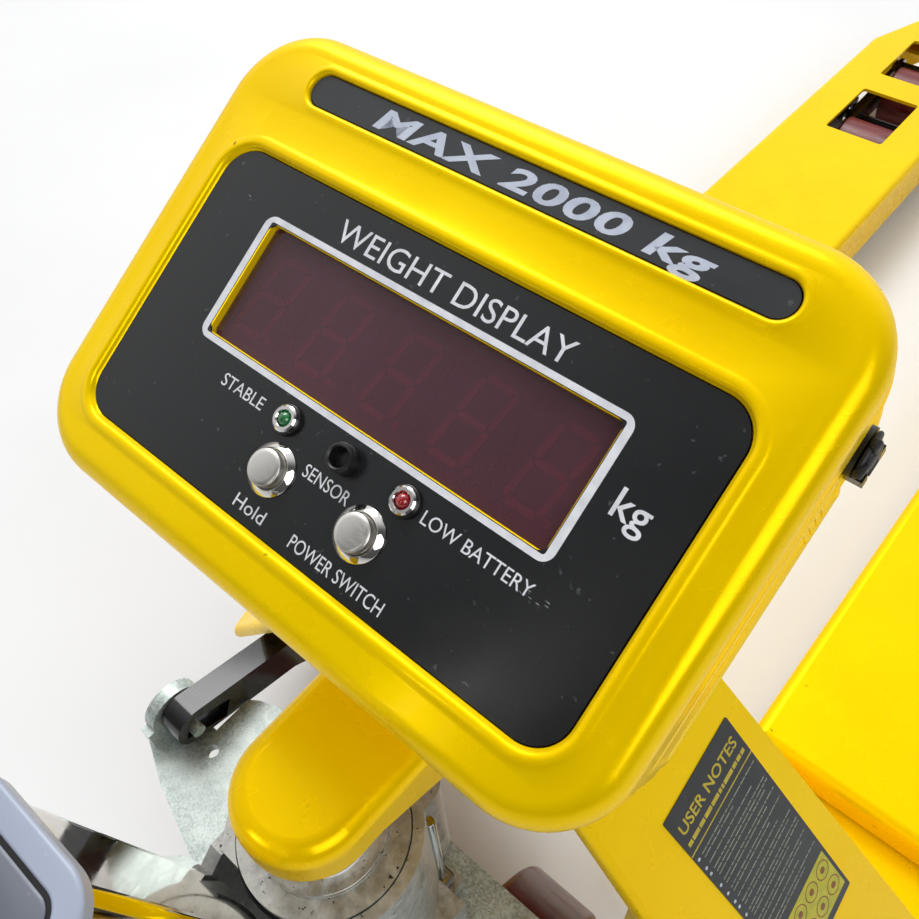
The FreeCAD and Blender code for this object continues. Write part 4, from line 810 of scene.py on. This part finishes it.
def grip_sleeves():
    """Ribbed rubber sleeves on the two sides of the grip and the finger bar."""
    sleeves = []
    for side in (-1, 1):
        profile = []
        for k in range(15):
            z = GRIP_SIDE[0] + (GRIP_SIDE[1] - GRIP_SIDE[0]) * k / 14
            rib = [(0.35, 0.0), (1.3, 0.6), (1.3, 1.6), (0.35, 2.2)]
            profile += [(GRIP_R + out, z + up) for out, up in rib]
        sleeves.append(lathe(profile, (side * GRIP_HALF, BOOT_MID), 28))
    piece("grip_sleeves", *merge(*sleeves), TILLER, "tiller", "black_rubber")
    bar = []
    for k in range(13):
        z = -31.0 + 62.0 * k / 12
        bar += [(6.6, z - 1.2), (7.3, z - 0.6), (7.3, z + 0.6), (6.6, z + 1.2)]
    turn = Matrix.Translation((0.0, BOOT_MID, FINGER_BAR_Z)) @ Matrix.Rotation(math.radians(90), 4, "Y")
    sleeve = moved(lathe(bar, steps=28), turn)
    piece("finger_bar_sleeve", *sleeve, TILLER, "control_lever", "black_grip")


grip_sleeves()


# ---------------------------------------------------------------- pump and plate
def pump_dress():
    """Tie rod with its nut, painted shade for the notch and groove of the pump's cap, its step, and the ram's
    wiper ring.
    """
    # near-black look for the painted shade on the cap
    dark = PRINT["dark"]
    chrome = [(2.6, 250.0), (2.6, 335.2), (2.2, 336.0), (0.0, 336.2)]
    nut = ring(11.0, 9.6, 1.2, TIE_ROD, 3)
    lock = sweep(nut, [(0.0, 244.2), (0.0, 250.0), (-0.8, 250.8), (-2.4, 250.9)])
    rod = lathe(chrome, TIE_ROD, 20)
    piece("tie_rod_sleeve", *rod, TRUCK, "pump", "cast_grey", LOOKS["polished_steel"])
    piece("tie_rod_nut", *lock, TRUCK, "pump", "cast_grey", LOOKS["bolt_steel"])
    # raised dark block standing for the cap's notch: painted shade
    notch_shade = moved(block(-3.0, 3.0, -2.6, 2.6, CAP_TOP + 0.02, CAP_TOP + 2.12, 0.4), Matrix.Rotation(
        math.radians(200), 4, "Z") @ Matrix.Translation((31.4, 0.0, 0.0)))
    piece("cap_notch_painted_shade", *notch_shade, TRUCK, "pump", "cast_grey", dark)
    # dark ring standing for the cap's groove: painted shade
    groove_shade_profile = [(36.2, CAP_TOP - 5.8), (36.9, CAP_TOP - 5.0), (37.6, CAP_TOP - 5.8)]
    piece("cap_groove_painted_shade", *lathe(groove_shade_profile, steps=72), TRUCK, "pump", "cast_grey", dark)
    step = [(27.2, CAP_TOP + 0.2), (27.0, CAP_TOP + 1.6), (26.2, CAP_TOP + 2.3), (20.6, CAP_TOP + 2.5),
            (19.9, CAP_TOP + 3.0), (19.6, CAP_TOP + 4.4)]
    piece("cap_step", *lathe(step, steps=72), TRUCK, "pump", "cast_grey")
    lip = [(15.0, 11.2), (15.6, 11.5), (16.4, 11.0), (16.7, 9.6), (16.5, 7.4), (17.4, 7.0)]
    skin = lathe([(radius, CAP_TOP + up) for radius, up in lip], steps=56)
    seal = piece("wiper_ring", *skin, TRUCK, "pump", "black_rubber", PRINT["navy"])
    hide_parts("dust_ring")


def spring_coil():
    """Return spring of the plunger, as wound wire."""
    turns, steps, wire, sides = 7, 26, 1.15, 8
    low, high = SPRING_Z
    radius = 9.7
    points, faces = [], []
    total = turns * steps
    for k in range(total + 1):
        share = k / total
        eased = min(max((share - 0.08) / 0.84, 0.0), 1.0)
        z = low + wire + (high - low - 2 * wire) * eased
        angle = math.tau * turns * share
        axis_out = Vector((math.cos(angle), math.sin(angle), 0.0))
        for n in range(sides):
            a = math.tau * n / sides
            p = axis_out * (radius + wire * math.cos(a)) + Vector((0.0, 0.0, z + wire * math.sin(a)))
            points.append((p.x, PLUNGER_Y + p.y, p.z))
        if k:
            for n in range(sides):
                a, b = (k - 1) * sides + n, (k - 1) * sides + (n + 1) % sides
                faces.append((a, b, b + sides, a + sides))
    faces += [tuple(range(sides)), tuple(range(total * sides, (total + 1) * sides))]
    coil = piece("return_spring", points, faces, TRUCK, "pump", "bolt_steel", sharp=60.0)
    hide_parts("plunger_spring")
    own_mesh(coil)


pump_dress()
spring_coil()


def wheel_dress():
    """Hub cap, ring of bolts and the moulded line round the tread of each steering wheel."""
    for name, side in (("left", -1), ("right", 1)):
        turn = Matrix.Translation((side * WHEEL_X, 0.0, WHEEL_R)) @ Matrix.Rotation(
            math.radians(90 * side), 4, "Y")
        cap = [(0.0, 30.6), (9.0, 30.4), (14.0, 29.2), (17.6, 27.0), (19.4, 24.0), (19.8, 20.0),
               (24.0, 19.4), (26.0, 17.6), (29.5, 16.8)]
        hub = [lathe(cap, steps=48)]
        for k in range(6):
            a = math.tau * k / 6
            bolt = sweep(ring(9.4, 9.4, 2.2, (24.6 * math.cos(a), 24.6 * math.sin(a)), 3),
                         [(0.0, 15.8), (0.0, 20.6), (-0.9, 21.3), (-4.6, 21.4)])
            hub.append(bolt)
        skin = moved(merge(*hub), turn)
        piece("hub_cap_" + name, *skin, TRUCK, "wheel_" + name, "cast_grey")
        groove = [(99.0, -0.8), (99.98, -0.7), (99.98, 0.7), (99.0, 0.8)]
        line = moved(lathe(groove, steps=96), turn)
        piece("tread_line_" + name, *line, TRUCK, "wheel_" + name, "red_tread")


wheel_dress()

# ---------------------------------------------------------------- stage
FLOOR_COLOUR = rgb(238, 238, 238)


def stage():
    """Pale floor that the truck stands on."""
    half = 14.0
    points = [(-half, -half, 0), (half, -half, 0), (half, half, 0), (-half, half, 0)]
    mesh = bpy.data.meshes.new("floor")
    mesh.from_pydata(points, [], [(0, 1, 2, 3)])
    floor = bpy.data.objects.new("floor", mesh)
    bpy.context.scene.collection.objects.link(floor)
    g = Graph("floor")
    g.colour(g.mix(g.span(g.noise(2.0, 4.0), 0.3, 0.7), FLOOR_COLOUR, rgb(232, 232, 232)))
    g.rough(g.span(g.noise(9.0, 4.0), 0.3, 0.7, 0.6, 0.8))
    mesh.materials.append(g.fixed())


def area_light(name, place, target, size, power, colour=(1.0, 1.0, 1.0)):
    light = bpy.data.lights.new(name, "AREA")
    light.shape = "RECTANGLE"
    light.size, light.size_y = size
    light.energy = power
    light.color = colour
    obj = bpy.data.objects.new(name, light)
    obj.location = place
    obj.rotation_mode = "QUATERNION"
    obj.rotation_quaternion = (Vector(target) - Vector(place)).to_track_quat("-Z", "Y")
    bpy.context.scene.collection.objects.link(obj)


def studio():
    """White ceiling, darker low down and on the operator's right, one broad key and a soft fill."""
    world = bpy.data.worlds.new("studio")
    bpy.context.scene.world = world
    world.use_nodes = True
    nodes, links = world.node_tree.nodes, world.node_tree.links
    place = nodes.new("ShaderNodeTexCoord").outputs["Generated"]
    shares = []
    for name, direction, low, high, weakest in (("height", (0.0, 0.0, 1.0), -0.6, 0.35, 0.25),
                                                ("side", (-0.76, 0.65, 0.0), -0.30, 0.42, 0.10)):
        dot = nodes.new("ShaderNodeVectorMath")
        dot.name, dot.operation = name, "DOT_PRODUCT"
        links.new(place, dot.inputs[0])
        dot.inputs[1].default_value = direction
        span = nodes.new("ShaderNodeMapRange")
        span.interpolation_type = "SMOOTHSTEP"
        for key, value in (("From Min", low), ("From Max", high), ("To Min", weakest), ("To Max", 1.0)):
            span.inputs[key].default_value = value
        links.new(dot.outputs["Value"], span.inputs["Value"])
        shares.append(span.outputs[0])
    light = nodes.new("ShaderNodeMath")
    light.operation = "MULTIPLY"
    links.new(shares[0], light.inputs[0])
    links.new(shares[1], light.inputs[1])
    links.new(light.outputs[0], nodes["Background"].inputs["Strength"])
    nodes["Background"].inputs["Color"].default_value = (0.97, 0.98, 1.0, 1.0)
    target = (0.0, STEER_Y + 0.1, 0.4)
    area_light("key", (-1.6, STEER_Y + 1.5, 3.0), target, (2.2, 1.4), 70.0)
    area_light("fill", (2.4, STEER_Y - 0.8, 2.6), target, (2.0, 2.0), 48.0)
    bpy.context.scene.view_settings.view_transform = "Standard"


def camera():
    """Camera a little above and in front of the indicator, looking down at it."""
    lens_pixels, width = 920.0, 919.0
    data = bpy.data.cameras.new("camera")
    data.sensor_width = 36.0
    data.lens = 36.0 * lens_pixels / width
    data.clip_start, data.clip_end = 0.01, 60.0
    obj = bpy.data.objects.new("camera", data)
    right = Vector((0.7581, 0.6508, -0.0421)).normalized()
    back = Vector((0.4312, -0.4517, 0.7810)).normalized()
    up = back.cross(right).normalized()
    right = up.cross(back)
    turn = Matrix((right, up, back)).transposed().to_4x4()
    obj.matrix_world = Matrix.Translation((0.131, STEER_Y - 0.042, 0.745)) @ turn
    bpy.context.scene.collection.objects.link(obj)
    bpy.context.scene.camera = obj


stage()
studio()
camera()
